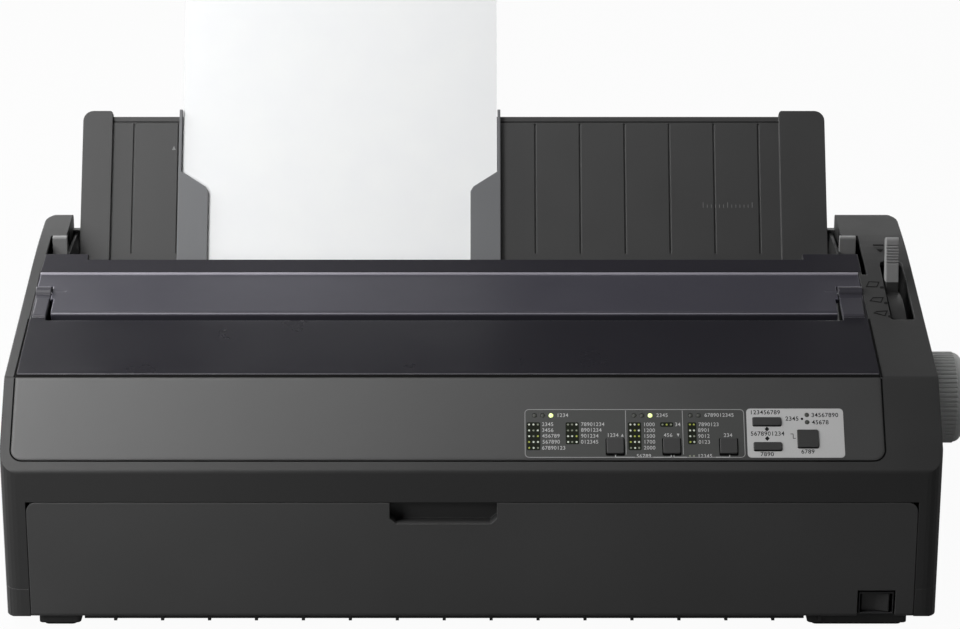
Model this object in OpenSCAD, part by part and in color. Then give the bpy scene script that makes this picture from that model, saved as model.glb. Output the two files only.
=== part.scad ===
// Wide-carriage dot matrix printer.
// X runs to the right, Y from the front face to the back, Z up from the table.

/* [Case] */
// Width of the case
case_w = 580; // [576:1:586]
// Depth of the case, front face to back wall
case_d = 398; // [392:1:404]
// Wall thickness of the mouldings
wall = 3; // [2.6:0.1:3.2]
// Height of the underside above the table
base_z = 8; // [7:0.5:9]
// Height of the seam between the lower and the upper case
seam_z = 27; // [25:0.5:29]
// Height where the front face bends into the control panel slope
bend_z = 105; // [104:0.5:106]
// Slope of the control panel
panel_angle = 48; // [47.5:0.1:48.5]
// Distance of the upper bend behind the front face
bend_y = 42; // [41.5:0.1:42.5]
// Slope of the covers
cover_angle = 12; // [11.9:0.05:12.1]

/* [Covers] */
// Height of the top edge of the front cover
front_cover_top = 84.6; // [80:0.1:86]
// Gap round every cover
gap = 0.4; // [0.3:0.05:0.5]
// Radius of the panel's lower corners
panel_corner = 7; // [5:0.5:9]

/* [Paper path] */
// Diameter of the platen
platen_d = 38; // [36:0.5:40]
// Diameter of the platen knob
knob_d = 60; // [56:0.5:62]
// Width of the sheet
sheet_w = 216; // [210:0.5:216]
// Length of the sheet
sheet_l = 279; // [270:0.5:297]
// Lean of the paper guide, from the table
guide_angle = 59.1; // [58:0.1:60]
// Height of the middle of the paper guide
guide_h = 106; // [100:0.5:108]

/* [Drive] */
// Gear module
gear_mod = 1; // [1:1:1]
// Teeth on the platen gear
platen_teeth = 48; // [48:1:48]
// Teeth on the idler gear
idler_teeth = 30; // [30:1:30]
// Teeth on the feed motor pinion
pinion_teeth = 12; // [12:1:12]

/* [Hidden] */

$fn = 48;
eps = 0.02;
run_fit = 0.05;                       // radial clearance of every running fit
half_w = case_w / 2;
bend_top_z = bend_z + bend_y * tan(panel_angle);

// Opening for the panel and the covers, and the rear throat behind them
open_l = -283.4;
open_r = 254.5;
throat_l = -272.4;
throat_r = 248.8;
tower_z = 192.6;                      // height of its rear edge
tower_d = 262;                        // depth of the full-height part of the case
deck_z = 118;                         // height of the low rear deck
knob_end_x = 321;

// Platen, carriage and feed positions, as [y, z]
platen_at = [145, 101];
shaft_at = [104, 76];
idler_at = platen_at + (platen_teeth + idler_teeth) / 2 * gear_mod * [cos(-50), sin(-50)];
pinion_at = idler_at + (idler_teeth + pinion_teeth) / 2 * gear_mod * [cos(-45), sin(-45)];
press_r = 7;
press_at = platen_at + (platen_d / 2 + press_r + 0.4) * [cos(-35), sin(-35)];
guide_at = [243.3, 160];              // foot of the paper guide's front face
guide_pivot_at = [252, 152];
tractor_at = [304, 120];
tractor_rod_at = [326, 114];
frame_l = -270;                       // middle of each 2 mm side frame
frame_r = 246;
shaft_r = 6;
belt_z = 56;
belt_y = 88;
pulley_r = 8;
pulley_x = [-236, 212];
home_x = -190;                        // carriage at rest, by the left frame

// Hinge of the covers in the cover plane, as [distance up the slope, depth]
knuckle_at = [106.5, -2.4];
knuckle_r = 5.2;
flap_pivot_at = [128.4, -2.2];
flap_from = 79;
lip_h = -8.4;                         // depth of the lip under the flap's front edge
flap_notch_x = [-270.6, 235.8];       // inner sides of the notches for the window's arms
notch_step = 2.1;                     // how much narrower they are beside the knuckles
arm_x = [-273.2, 238.6];              // inner sides of those arms
arm_s = [72.6, 95.6];
window_from = 3.6;
window_to = 69;
cover_t = 2.6;

// ---------------------------------------------------------------- outlines
function unit(v) = v / norm(v);

// Arc that rounds the corner b of the path a, b, c
function corner(a, b, c, r, n) =
    r == 0 ? [b] :
    let (u = unit(a - b), v = unit(c - b), half = acos(u * v) / 2,
         m = b + unit(u + v) * r / sin(half),
         p = b + u * r / tan(half) - m, q = b + v * r / tan(half) - m,
         a0 = atan2(p[1], p[0]),
         sweep = (atan2(q[1], q[0]) - a0 + 540) % 360 - 180)
    [for (i = [0:n]) m + r * [cos(a0 + sweep * i / n), sin(a0 + sweep * i / n)]];

// Closed outline from [x, y, corner radius] points
function rounded(p, n = 6) =
    [for (i = [0:len(p) - 1])
        let (a = p[(i + len(p) - 1) % len(p)], b = p[i], c = p[(i + 1) % len(p)])
        each corner([a[0], a[1]], [b[0], b[1]], [c[0], c[1]], b[2], n)];

module box(a, b) translate(a) cube(b - a);
module rounded_box(a, b, r) translate([0, 0, a[2]]) linear_extrude(b[2] - a[2])
    polygon(rounded([[a[0], a[1], r], [b[0], a[1], r], [b[0], b[1], r], [a[0], b[1], r]]));

// Extrudes a (y, z) outline along X
module extrude_x(x0, x1) translate([x0, 0, 0]) rotate([90, 0, 90]) linear_extrude(x1 - x0) children();
module rod_x(x0, x1, at, r) translate([x0, at[0], at[1]]) rotate([0, 90, 0]) cylinder(h = x1 - x0, r = r);
module tube_x(x0, x1, at, r_out, r_in) difference() {
    rod_x(x0, x1, at, r_out);
    rod_x(x0 - 1, x1 + 1, at, r_in);
}

// Local frames: x across, y up the slope, z out of the surface
module on_panel() translate([0, 0, bend_z]) rotate([panel_angle, 0, 0]) children();
module on_cover() translate([0, bend_y, bend_top_z]) rotate([cover_angle, 0, 0]) children();
module on_guide() translate([0, guide_at[0], guide_at[1]]) rotate([guide_angle, 0, 0]) children();

// The origin lies under the middle of the whole object
module in_frame() translate([-(knob_end_x - half_w) / 2, -case_d / 2, 0]) children();

// ---------------------------------------------------------------- case
tower_side = rounded([[0, base_z, 2], [0, bend_z, 4], [bend_y, bend_top_z, 5], [205, 186.6, 520],
                      [tower_d, tower_z, 4], [tower_d + 4, base_z, 0]]);
tower_plan = rounded([[-half_w, 0, 10], [half_w, 0, 10], [half_w, tower_d, 15], [-half_w, tower_d, 15]]);
deck_side = rounded([[200, base_z, 0], [200, deck_z + 8, 0], [tower_d, deck_z + 4, 0],
                     [case_d - 14, deck_z - 10, 12], [case_d, deck_z - 30, 12], [case_d, base_z, 2]]);
deck_plan = rounded([[-half_w, 200, 0], [half_w, 200, 0], [half_w, case_d, 25], [-half_w, case_d, 25]]);

module block(side, plan, inset) intersection() {
    extrude_x(-half_w - 1, half_w + 1) offset(delta = -inset) polygon(side);
    linear_extrude(400) offset(delta = -inset) polygon(plan);
}

module case_mass(inset) {
    block(tower_side, tower_plan, inset);
    block(deck_side, deck_plan, inset);
    // joins the two blocks where their insets part
    if (inset > 0) box([inset - half_w, 190, base_z + inset], [half_w - inset, 280, deck_z - inset]);
}

module case_shell(z0, z1) intersection() {
    difference() {
        case_mass(0);
        case_mass(wall);
    }
    box([-half_w - 5, -5, z0], [half_w + 5, case_d + 5, z1]);
}

cover_l = -274;
cover_r = 275;
switch_x = [241, 262.6];
switch_z = [9.9, 24.7];
front_axis = [2.6, base_z + 2.8];
foot_blocks = [[-270, 4, 26, 40], [210, 4, 62, 40], [-270, 330, 26, 40], [226, 330, 44, 40]];

module side_vents() for (i = [0:11], x = [-half_w - 1, half_w - wall - 1])
    box([x, 214 + i * 12, 44], [x + wall + 2, 219 + i * 12, 84]);

module lower_case() color([0.16, 0.16, 0.16]) difference() {
    union() {
        difference() {
            case_shell(base_z, seam_z);
            box([cover_l - gap, -1, 0], [cover_r + gap, 7, seam_z + 1]);
        }
        // front wall behind the front cover, and the end blocks that hold its hinge
        box([cover_l - gap - 1, 7, base_z], [cover_r + gap + 1, 10, seam_z]);
        for (x = [[3 - half_w, cover_l - gap], [cover_r + gap, half_w - 3]])
            box([x[0], 2.5, base_z + 1], [x[1], 13, seam_z]);
        // lip under the front cover, with its ribs
        box([-241.5, 5.8, 4.8], [207.7, 14, base_z + 1]);
        for (i = [0:15]) box([-223 + i * 29.3, 3.2, 4.4], [-221 + i * 29.3, 14, base_z - 0.4]);
        // corner feet
        for (f = foot_blocks) rounded_box([f[0], f[1] + 1, 2.2], [f[0] + f[2], f[1] + f[3], base_z + 1], 3);
        // bosses for the case screws and the boards
        for (x = [-278, 278], y = [60, 360])
            translate([x, y, base_z + 1]) cylinder(h = seam_z - base_z - 1, r = 6);
        for (x = [-240, -60], y = [240, 372]) translate([x, y, base_z + 1]) cylinder(h = 8, r = 4);
        for (x = [80, 216], y = [240, 356]) translate([x, y, base_z + 1]) cylinder(h = 8, r = 4);
        // stiffening ribs across the floor
        for (x = [-180, -120, 0, 30]) box([x, 10, base_z + 1], [x + 2, case_d - 4, base_z + 6]);
        for (y = [120, 200]) box([-half_w + 4, y, base_z + 1], [half_w - 4, y + 2, base_z + 6]);
    }
    // hinge holes for the front cover
    rod_x(cover_l - 3.2, cover_l, front_axis, 1.3 + run_fit);
    rod_x(cover_r, cover_r + 3.2, front_axis, 1.3 + run_fit);
    // pocket for the power switch
    box([switch_x[0] - 0.4, 4, switch_z[0] - 0.3], [switch_x[1] + 0.4, 26, switch_z[1] + 0.3]);
    // screw holes, from below
    for (x = [-278, 278], y = [60, 360]) translate([x, y, base_z - 1]) {
        cylinder(h = 40, r = 1.6);
        cylinder(h = 6, r = 4.2);
    }
    for (x = [[-200, -60], [60, 200]]) for (i = [0:9])
        box([x[0] + i * 12, 140, 0], [x[0] + 5 + i * 12, 190, base_z + wall + 0.5]);
}

inlet_x = [176, 206];
inlet_z = [31, 53];
parallel_x = [-170, -98];
parallel_z = [31, 49];
usb_x = [-80, -66];
usb_z = [31, 45];

module back_ports() {
    box([inlet_x[0], case_d - 20, inlet_z[0]], [inlet_x[1], case_d + 2, inlet_z[1]]);
    box([parallel_x[0], case_d - 20, parallel_z[0]], [parallel_x[1], case_d + 2, parallel_z[1]]);
    box([usb_x[0], case_d - 20, usb_z[0]], [usb_x[1], case_d + 2, usb_z[1]]);
}

function panel_outline(grow) = rounded([[open_l + gap - grow, 7.7 - grow, panel_corner + grow],
    [open_r - gap + grow, 7.7 - grow, panel_corner + grow],
    [open_r - gap + grow, 120, 0], [open_l + gap - grow, 120, 0]]);

bay_x = [-238, 228];                  // tractor bay in the rear deck
bay_y = [274, 352];
bay_z = 98;
lever_slot_x = [269.8, 284.6];
lever_slot_s = [70, 146];
strip_to = 148;                       // rear edge of the strip behind the covers, up the slope
step_x = [-254.1, 219.8];             // where its deeper ends begin
step_to = 155.4;
notch_x = [-282.6, 260.1];            // outer sides of the notches for the guide posts
notch_to = 184;
slit_w = 3.5;
slit_from = 128;

// Brackets that carry the tractor shaft and rod
module tractor_brackets() for (x = [bay_x[0], bay_x[1] - 6]) difference() {
    extrude_x(x, x + 6) polygon(rounded([[292, bay_z - 1, 0], [338, bay_z - 1, 0], [338, 122, 6],
        [314, 128, 6], [292, 128, 6]]));
    rod_x(x - 1, x + 7, tractor_at, 4 + run_fit);
    rod_x(x - 1, x + 7, tractor_rod_at, 3);
}

// Caps over the side frames in the rear corners of the throat
module frame_caps() difference() {
    for (x = [[throat_l - 1, guide_l - 0.4], [guide_r + 0.4, throat_r + 1]])
        box([x[0], 256, 110], [x[1], tower_d - 0.5, 182]);
    for (x = [frame_l, frame_r]) box([x - 1.3, 250, 100], [x + 1.3, tower_d + 1, 180.4]);
    rod_x(frame_l - 3, guide_l, guide_pivot_at, 3.4);
    rod_x(guide_r, frame_r + 3, guide_pivot_at, 3.4);
}

module upper_case() color([0.2, 0.2, 0.2]) {
    upper_shell();
    tractor_brackets();
    frame_caps();
}

module upper_shell() difference() {
    union() {
        case_shell(seam_z, 200);
        // ledges that carry the covers
        on_cover() box([open_l - 2, 9, -7.4], [open_l + 4, 76, -4.4]);
        on_cover() box([open_r - 4, 9, -7.4], [open_r + 2, 76, -4.4]);
        on_panel() box([open_l - 1, 2, -6.6], [open_r + 1, 10.4, -3.6]);
        // walls down the sides of the cover opening
        intersection() {
            union() {
                box([open_l - 2.2, 12, 140], [open_l, 168, 200]);
                box([open_r, 12, 140], [open_r + 2.2, 166, 200]);
                box([cover_l - gap - 3, 2, seam_z], [cover_l - gap, 14, 100]);
                box([cover_r + gap, 2, seam_z], [cover_r + gap + 3, 14, 100]);
                box([throat_l - 2.2, 238, 120], [throat_l, 262, 200]);
                box([throat_r, 238, 120], [throat_r + 2.2, 262, 200]);
            }
            case_mass(0.5);
        }
        // ledges that the sockets stand on
        for (x = [inlet_x, parallel_x, usb_x])
            box([x[0] - 3, case_d - 14, seam_z], [x[1] + 3, case_d - 1, inlet_z[0]]);
        // tray under the tractors
        difference() {
            box([bay_x[0] - 3, bay_y[0] - 3, bay_z - 3], [bay_x[1] + 3, bay_y[1] + 3, deck_z - 2]);
            box([bay_x[0], bay_y[0], bay_z], [bay_x[1], bay_y[1], deck_z]);
        }
        // bosses for the case screws
        for (x = [-278, 278], y = [60, 360]) translate([x, y, seam_z]) cylinder(h = 22, r = 6);
        intersection() {
            for (x = [-278, 278], y = [60, 360])
                box([x - (x < 0 ? 10 : 1), y - 1, seam_z], [x + (x < 0 ? 1 : 10), y + 1, seam_z + 22]);
            case_mass(1);
        }
    }
    // opening for the control panel and the covers
    intersection() {
        union() {
            on_panel() translate([0, 0, -6]) linear_extrude(60) polygon(panel_outline(gap));
        }
        extrude_x(-half_w, half_w) polygon([
            [-20, bend_z], [-1.4, bend_z - 4.4], [12.8, bend_z + 7.6], [44, bend_z + 43.6],
            [60, 220], [-20, 220]]);
    }
    on_cover() box([open_l, -4, -4.4], [open_r, flap_pivot_at[0] + 4.2, 30]);
    on_cover() box([open_l + 4, 6, -20], [open_r - 4, flap_pivot_at[0] + 4.2, 30]);
    on_cover() box([open_l, 74, -20], [open_r, flap_pivot_at[0] + 4.2, 30]);
    on_panel() box([open_l + 8, 12, -20], [open_r - 8, 80, 10]);
    // rear throat for the paper, stepped back at both ends
    on_cover() translate([0, 0, -60]) linear_extrude(100) polygon([
        [step_x[0], strip_to], [step_x[1], strip_to], [step_x[1], step_to], [throat_r, step_to],
        [throat_r, 260], [throat_l, 260], [throat_l, step_to], [step_x[0], step_to]]);
    box([throat_l, 200, 134], [throat_r, 290, 210]);
    // slots where the side frames pass through the tower's back wall
    for (x = [frame_l, frame_r]) box([x - 1.6, 250, 100], [x + 1.6, 275, 140]);
    // notches beside the throat for the guide posts, the right one with a slit along the strip
    on_cover() box([notch_x[0], step_to, -44], [throat_l + 1, notch_to, 20]);
    on_cover() box([throat_r - 1, step_to, -44], [notch_x[1], notch_to, 20]);
    on_cover() box([notch_x[1] - slit_w, slit_from, -44], [notch_x[1], step_to + 1, 20]);
    // front opening
    box([cover_l - gap, -1, seam_z - 1], [cover_r + gap, 5, front_cover_top + gap]);
    box([cover_l + 6, 0, seam_z - 1], [cover_r - 6, 12, front_cover_top - 3]);
    // slot of the release lever
    on_cover() translate([0, 0, -20]) linear_extrude(40) polygon(rounded([
        [lever_slot_x[0] - 0.8, lever_slot_s[0], 2], [lever_slot_x[1] - 0.2, lever_slot_s[0], 2],
        [lever_slot_x[1], lever_slot_s[1], 4], [lever_slot_x[0], lever_slot_s[1], 4]]));
    // hole for the knob's shaft, ports, vents and the tractor bay
    rod_x(half_w - 10, half_w + 10, platen_at, 12);
    back_ports();
    side_vents();
    box([bay_x[0], bay_y[0], bay_z], [bay_x[1], bay_y[1], 150]);
    // screw holes
    for (x = [-278, 278], y = [60, 360]) translate([x, y, seam_z - 1]) cylinder(h = 20, r = 1.5);
    // rear pivots of the covers
    on_cover() rod_x(open_l - 2.4, open_l + 1, flap_pivot_at, 1.25);
    on_cover() rod_x(open_r - 1, open_r + 2.4, flap_pivot_at, 1.25);
}

// ---------------------------------------------------------------- control panel
menu_buttons = [88.5, 123.3, 158.3];
button_s = 17;
lamps = [[39, 37.3], [44.1, 37.3], [49.2, 37.3], [100.5, 37.3], [105.4, 37.3], [110.4, 37.3],
         [135.4, 37.3], [140.2, 37.3], [207.2, 37.6], [207.2, 32.8]];
load_button = [182.3, 33.2, 17.6, 5.3];
feed_button = [182.3, 16.8, 17.2, 5.2];
pause_button = [207.2, 21.8, 12.8, 11.6];

module button_hole(b) translate([b[0] - b[2] / 2 - gap, b[1] - b[3] / 2 - gap, -8])
    cube([b[2] + 2 * gap, b[3] + 2 * gap, 12]);

module control_panel() color([0.27, 0.27, 0.27]) difference() {
    union() {
        intersection() {
            extrude_x(open_l + gap, open_r - gap) difference() {
                polygon(rounded([[0, bend_z, 3], [bend_y, bend_top_z, 4.5],
                    [bend_y + 3 * cos(cover_angle), bend_top_z + 3 * sin(cover_angle), 0],
                    [bend_y + 6, bend_top_z - 6, 0], [8, bend_z - 4, 0]]));
                polygon(rounded([[3.6, bend_z, 0], [bend_y + 1.4, bend_top_z - 3.2, 3],
                    [bend_y + 10, bend_top_z - 1.6, 0], [bend_y + 10, bend_top_z - 20, 0],
                    [12, bend_z - 10, 0]]));
            }
            on_panel() translate([0, 0, -14]) linear_extrude(60) polygon(panel_outline(0));
        }
        // ribs behind the panel
        for (x = [-220:55:0]) on_panel() box([x, 13, -6], [x + 1.6, 56, -2]);
        on_panel() box([26, 50, -6], [222, 51.6, -2]);
    }
    for (x = menu_buttons) on_panel() button_hole([x, button_s, 10.4, 10]);
    for (b = [load_button, feed_button, pause_button]) on_panel() button_hole(b);
    for (p = lamps) on_panel() translate([p[0], p[1], -8]) cylinder(h = 10, r = 1.5, $fn = 24);
}

module push_button(b, shade) color(shade) on_panel() {
    translate([b[0] - b[2] / 2, b[1] - b[3] / 2, -5]) linear_extrude(6) polygon(rounded(
        [[0, 0, 0.8], [b[2], 0, 0.8], [b[2], b[3], 0.8], [0, b[3], 0.8]], 3));
    translate([b[0] - b[2] / 2 - 1, b[1] - b[3] / 2 - 0.5, -6]) cube([b[2] + 2, b[3] + 1, 1.6]);
}

module button_font() push_button([menu_buttons[0], button_s, 10.4, 10], [0.2, 0.2, 0.2]);
module button_pitch() push_button([menu_buttons[1], button_s, 10.4, 10], [0.2, 0.2, 0.2]);
module button_item() push_button([menu_buttons[2], button_s, 10.4, 10], [0.2, 0.2, 0.2]);
module button_load() push_button(load_button, [0.2, 0.2, 0.2]);
module button_feed() push_button(feed_button, [0.2, 0.2, 0.2]);
module button_pause() push_button(pause_button, [0.15, 0.15, 0.15]);

module status_lamps() color([0.75, 0.85, 0.35]) for (p = lamps)
    on_panel() translate([p[0], p[1], -4]) cylinder(h = 4.2, r = 1.5, $fn = 24);

// ---------------------------------------------------------------- covers
module window_cover() color([0.13, 0.13, 0.15]) on_cover() difference() {
    union() {
        translate([0, 0, -cover_t]) linear_extrude(cover_t) polygon(rounded([
            [open_l + gap, window_from, 1.5], [open_r - gap, window_from, 1.5],
            [open_r - gap, window_to + 5, 0],
            [open_r - gap, knuckle_at[0] - 2, 0], [arm_x[1], knuckle_at[0] - 2, 0], [arm_x[1], window_to, 2],
            [arm_x[0], window_to, 2], [arm_x[0], knuckle_at[0] - 2, 0],
            [open_l + gap, knuckle_at[0] - 2, 0]]));
        // raised pads on the arms
        for (x = [[open_l + 2, arm_x[0]], [arm_x[1], open_r - 2.2]]) extrude_x(x[0], x[1])
            polygon(rounded([[arm_s[0], -cover_t, 0], [arm_s[1], -cover_t, 0], [arm_s[1], 1.4, 0.5],
                [arm_s[0], 1.4, 2.4]]));
        // frame bead under the pane
        box([open_l + 8, window_from + 4, -5.4], [open_r - 8, window_from + 6, -cover_t + eps]);
        box([open_l + 8, window_to - 6, -5.4], [open_r - 8, window_to - 4, -cover_t + eps]);
        for (x = [[open_l + gap, arm_x[0]], [arm_x[1], open_r - gap]])
            rod_x(x[0], x[1], knuckle_at, knuckle_r);
    }
    rod_x(open_l - 1, open_r + 1, knuckle_at, 2 + run_fit);
}

module window_hinge_pins() color("silver") on_cover() {
    rod_x(-282.4, -264, knuckle_at, 2);
    rod_x(230, 253.4, knuckle_at, 2);
}

module tear_off_cover() color([0.32, 0.32, 0.35]) on_cover() difference() {
    union() {
        difference() {
            // rounded front edge with a lip below it, and a bead along the back
            extrude_x(open_l + gap, open_r - gap) polygon(rounded([
                [flap_from, 0, 2.6], [flap_pivot_at[0] - 0.8, 0, 0.4], [flap_pivot_at[0] - 0.2, 1, 0.5],
                [flap_pivot_at[0] + 2.2, 1, 1.4], [flap_pivot_at[0] + 2.2, -4.4, 2.1],
                [flap_pivot_at[0] - 9, -3.4, 0], [flap_from + 4.6, -3.4, 0], [flap_from + 2.6, lip_h, 0.8],
                [flap_from, lip_h, 0.8]]));
            // notches for the window cover's arms and knuckles
            for (n = [[0, arm_s[1] + 1], [notch_step, knuckle_at[0] + 6.4]]) {
                box([open_l - 1, flap_from - 1, -9], [flap_notch_x[0] - n[0], n[1], 3]);
                box([flap_notch_x[1] + n[0], flap_from - 1, -9], [open_r + 1, n[1], 3]);
            }
        }
        // bosses that hold the hinge pins
        rod_x(flap_notch_x[0] - notch_step, -262, knuckle_at - [0, 0.9], 3.3);
        rod_x(228, flap_notch_x[1] + notch_step, knuckle_at - [0, 0.9], 3.3);
        // ribs
        for (x = [-220:40:200]) box([x, flap_from + 2, -5.6], [x + 1.6, flap_pivot_at[0] - 5, -3]);
    }
    rod_x(-282.4, -264, knuckle_at, 2);
    rod_x(230, 253.4, knuckle_at, 2);
    rod_x(open_l - 1, open_l + 7, flap_pivot_at, 1.2 + run_fit);
    rod_x(open_r - 7, open_r + 1, flap_pivot_at, 1.2 + run_fit);
}

module cover_pivot_pins() color("silver") on_cover() {
    rod_x(open_l - 2.2, open_l + 6.4, flap_pivot_at, 1.2);
    rod_x(open_r - 6.4, open_r + 2.2, flap_pivot_at, 1.2);
}

grip_x = [-50.3, 15.9];
grip_z = 70.7;
grip_d = 9;

module grip_outline() polygon([
    [grip_x[0], front_cover_top + 2], [grip_x[0], grip_z + 3.4], [grip_x[0] + 4, grip_z],
    [grip_x[1] - 4, grip_z], [grip_x[1], grip_z + 3.4], [grip_x[1], front_cover_top + 2]]);

module front_cover() color([0.18, 0.18, 0.18]) difference() {
    union() {
        difference() {
            union() {
                translate([0, 3, 0]) rotate([90, 0, 0]) linear_extrude(3) polygon(rounded([
                    [cover_l, front_axis[1], 0], [cover_r, front_axis[1], 0],
                    [cover_r, front_cover_top, 6], [cover_l, front_cover_top, 6]]));
                rod_x(cover_l, cover_r, front_axis, 2.6);
                // ribs behind the face
                for (x = [-250:40:-60]) box([x, 2, 16], [x + 1.6, 5, 68]);
                for (x = [40:40:220]) box([x, 2, 30], [x + 1.6, 5, 68]);
                box([-258, 2, 40], [258, 5, 41.6]);
                translate([0, 3 + grip_d, 0]) rotate([90, 0, 0]) linear_extrude(grip_d) offset(delta = 2)
                        intersection() {
                    grip_outline();
                    translate([-100, 0]) square([200, front_cover_top - 2]);
                }
            }
            translate([0, 1 + grip_d, 0]) rotate([90, 0, 0]) linear_extrude(grip_d + 5) grip_outline();
        }
        // hinge stubs
        rod_x(cover_l - 2.6, cover_l + 1, front_axis, 1.3);
        rod_x(cover_r - 1, cover_r + 2.6, front_axis, 1.3);
    }
    // cut-out round the power switch
    box([switch_x[0] - 1, -1, 0], [switch_x[1] + 1, 10, switch_z[1] + 1.4]);
}

rocker_x = (switch_x[0] + switch_x[1]) / 2;
rocker_y = 6.4;
rocker_tilt = 8;
rocker_pin_r = 1.2;

module rocker_pin(z0, z1, r) translate([rocker_x, rocker_y, z0]) cylinder(h = z1 - z0, r = r);

module power_switch_body() color([0.1, 0.1, 0.1]) difference() {
    box([switch_x[0], 0.8, switch_z[0]], [switch_x[1], 24, switch_z[1]]);
    box([switch_x[0] + 0.7, -1, switch_z[0] + 1], [switch_x[1] - 0.7, 12, switch_z[1] - 1]);
    rocker_pin(switch_z[0] + 0.3, switch_z[1] - 0.3, rocker_pin_r + run_fit);
}

module power_rocker() color([0.12, 0.12, 0.12]) union() {
    translate([rocker_x, rocker_y, 0]) rotate([0, 0, -rocker_tilt])
        translate([0, 0, switch_z[0] + 1.4]) linear_extrude(switch_z[1] - switch_z[0] - 2.8)
        polygon(rounded([[-9.2, -4.4, 1], [0, -2.6, 8], [9.2, -4.4, 1],
            [8, 1.5, 1], [0, 3.4, 2], [-8, 1.5, 1]], 4));
    rocker_pin(switch_z[0] + 0.4, switch_z[1] - 0.4, rocker_pin_r);
}

// ---------------------------------------------------------------- paper guide
guide_l = -267.3;
guide_r = 243.3;
guide_panel_x = [-247, 212];
rib_pitch = 30.7;
rib_x0 = -232.2;

channel_s = [-0.8, 3.4];              // channel in which the edge guides run, up the panel

module paper_guide() color([0.3, 0.3, 0.3]) union() {
    on_guide() difference() {
        union() {
            translate([0, 0, -3]) linear_extrude(3) polygon(rounded([[guide_l, -2, 0], [guide_r, -2, 0],
                [guide_r, guide_h, 2], [guide_l, guide_h, 2]]));
            // raised borders with rounded tops
            for (x = [[guide_l, guide_panel_x[0]], [guide_panel_x[1], guide_r]])
                translate([0, 0, -3]) linear_extrude(5.4) polygon(rounded([[x[0], -2, 0], [x[1], -2, 0],
                    [x[1], guide_h + 3.6, x[1] > 0 ? 7 : 2], [x[0], guide_h + 3.6, x[1] < 0 ? 7 : 2]]));
            // stiffening ribs on the back
            for (x = [-240:60:200]) box([x, 4, -8], [x + 2, guide_h - 4, -2]);
            box([guide_l + 4, 50, -8], [guide_r - 4, 52, -2]);
            box([guide_l, -2, -8], [guide_r, 8, -2]);
        }
        // grooves between the panels
        for (i = [0:14])
            box([rib_x0 + i * rib_pitch - 0.6, 9, -1], [rib_x0 + i * rib_pitch + 0.6, guide_h - 5, 1]);
        box([guide_panel_x[0], guide_h - 4.6, -0.8], [guide_panel_x[1], guide_h - 3.4, 1]);
        // channel for the edge guides' shoes
        box([-244, channel_s[0], -4], [208, channel_s[1], 1]);
    }
    // ears and pivots
    for (x = [guide_l, guide_r - 4]) extrude_x(x, x + 4) polygon([
        guide_pivot_at + [6, -5], guide_pivot_at + [7, 3],
        guide_at + [12, 9], guide_at + [3, -3], guide_pivot_at + [-5, -5]]);
    rod_x(frame_l - 2, guide_l + 2, guide_pivot_at, 3);
    rod_x(guide_r - 2, frame_r + 2, guide_pivot_at, 3);
}

sheet_x = [-198.4, -198.4 + sheet_w];
sheet_z = 1.6;
wing = 18.2;
wing_from = 2;

// Channel that holds one edge of the sheet; side is -1 for the left one
module edge_guide(x, side) on_guide() {
    translate([x, 0, 0]) mirror([side > 0 ? 1 : 0, 0, 0]) {
        // fence beside the sheet and foot behind it
        box([-2.4, wing_from, 0.3], [-0.4, 110, 4.4]);
        box([-2.4, -1, 0.3], [8, 52, 1.2]);
        // wing over the sheet
        translate([0, 0, 2.4]) linear_extrude(2) polygon(rounded([[-2.4, wing_from, 0], [wing, wing_from, 0],
            [wing, 51.8, 2], [wing - 2, 55.3, 2], [-0.4, 66, 2], [-2.4, 66, 0]]));
        // shoe in the channel
        box([-2.2, channel_s[0] + 0.5, -3.6], [6, channel_s[1] - 0.5, 0.4]);
    }
}

module edge_guide_left() color([0.45, 0.45, 0.45]) edge_guide(sheet_x[0], -1);
module edge_guide_right() color([0.4, 0.4, 0.4]) edge_guide(sheet_x[1], 1);
module paper_sheet() color([0.94, 0.94, 0.93]) on_guide()
    translate([sheet_x[0], -12, sheet_z]) cube([sheet_w, sheet_l, 0.4]);

post_y = [213, 218];
post_z = [158, 190];

module guide_post(x0, x1) extrude_x(x0, x1) polygon(rounded([
    [post_y[0], post_z[0], 0], [post_y[1], post_z[0], 0],
    [post_y[1], post_z[1], 0.8], [post_y[0], post_z[1], 1.2]], 3));
module guide_post_left() color([0.38, 0.38, 0.38]) guide_post(-280.6, frame_l - 1);
module guide_post_right() color([0.34, 0.34, 0.34]) guide_post(frame_r + 1, 257.8);

// ---------------------------------------------------------------- frames
frame_side = rounded([[58, 14, 4], [268, 14, 4], [268, 180, 6], [206, 180, 4], [200, 150, 6],
                      [168, 132, 8], [58, 132, 8]]);

module side_frame(x) difference() {
    union() {
        extrude_x(x - 1, x + 1) polygon(frame_side);
        box([x > 0 ? x - 12 : x - 1, 60, 14], [x > 0 ? x + 1 : x + 12, 264, 16]);
    }
    rod_x(x - 2, x + 2, platen_at, 9);
    rod_x(x - 2, x + 2, guide_pivot_at, 3 + run_fit);
    rod_x(x - 2, x + 2, press_at, 3 + run_fit);
    rod_x(x - 2, x + 2, shaft_at, shaft_r);
    // lightening cut-outs
    extrude_x(x - 2, x + 2) polygon(rounded([[205, 30, 6], [255, 30, 6], [255, 120, 6], [220, 120, 6]]));
    extrude_x(x - 2, x + 2) polygon(rounded([[72, 26, 6], [150, 26, 6], [150, 50, 6], [72, 50, 6]]));
}

module side_frame_left() color([0.7, 0.71, 0.72]) union() {
    difference() {
        side_frame(frame_l);
        rod_x(frame_l - 2, frame_l + 2, pinion_at, 8);
    }
    rod_x(frame_l - 9, frame_l + eps, idler_at, 3);
}
module side_frame_right() color([0.7, 0.71, 0.72]) side_frame(frame_r);

module front_rail() color([0.66, 0.67, 0.68]) extrude_x(frame_l + 1, frame_r - 1) polygon([[62, 84], [76, 84],
    [76, 85.6], [63.6, 85.6], [63.6, 98], [62, 98]]);

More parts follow.
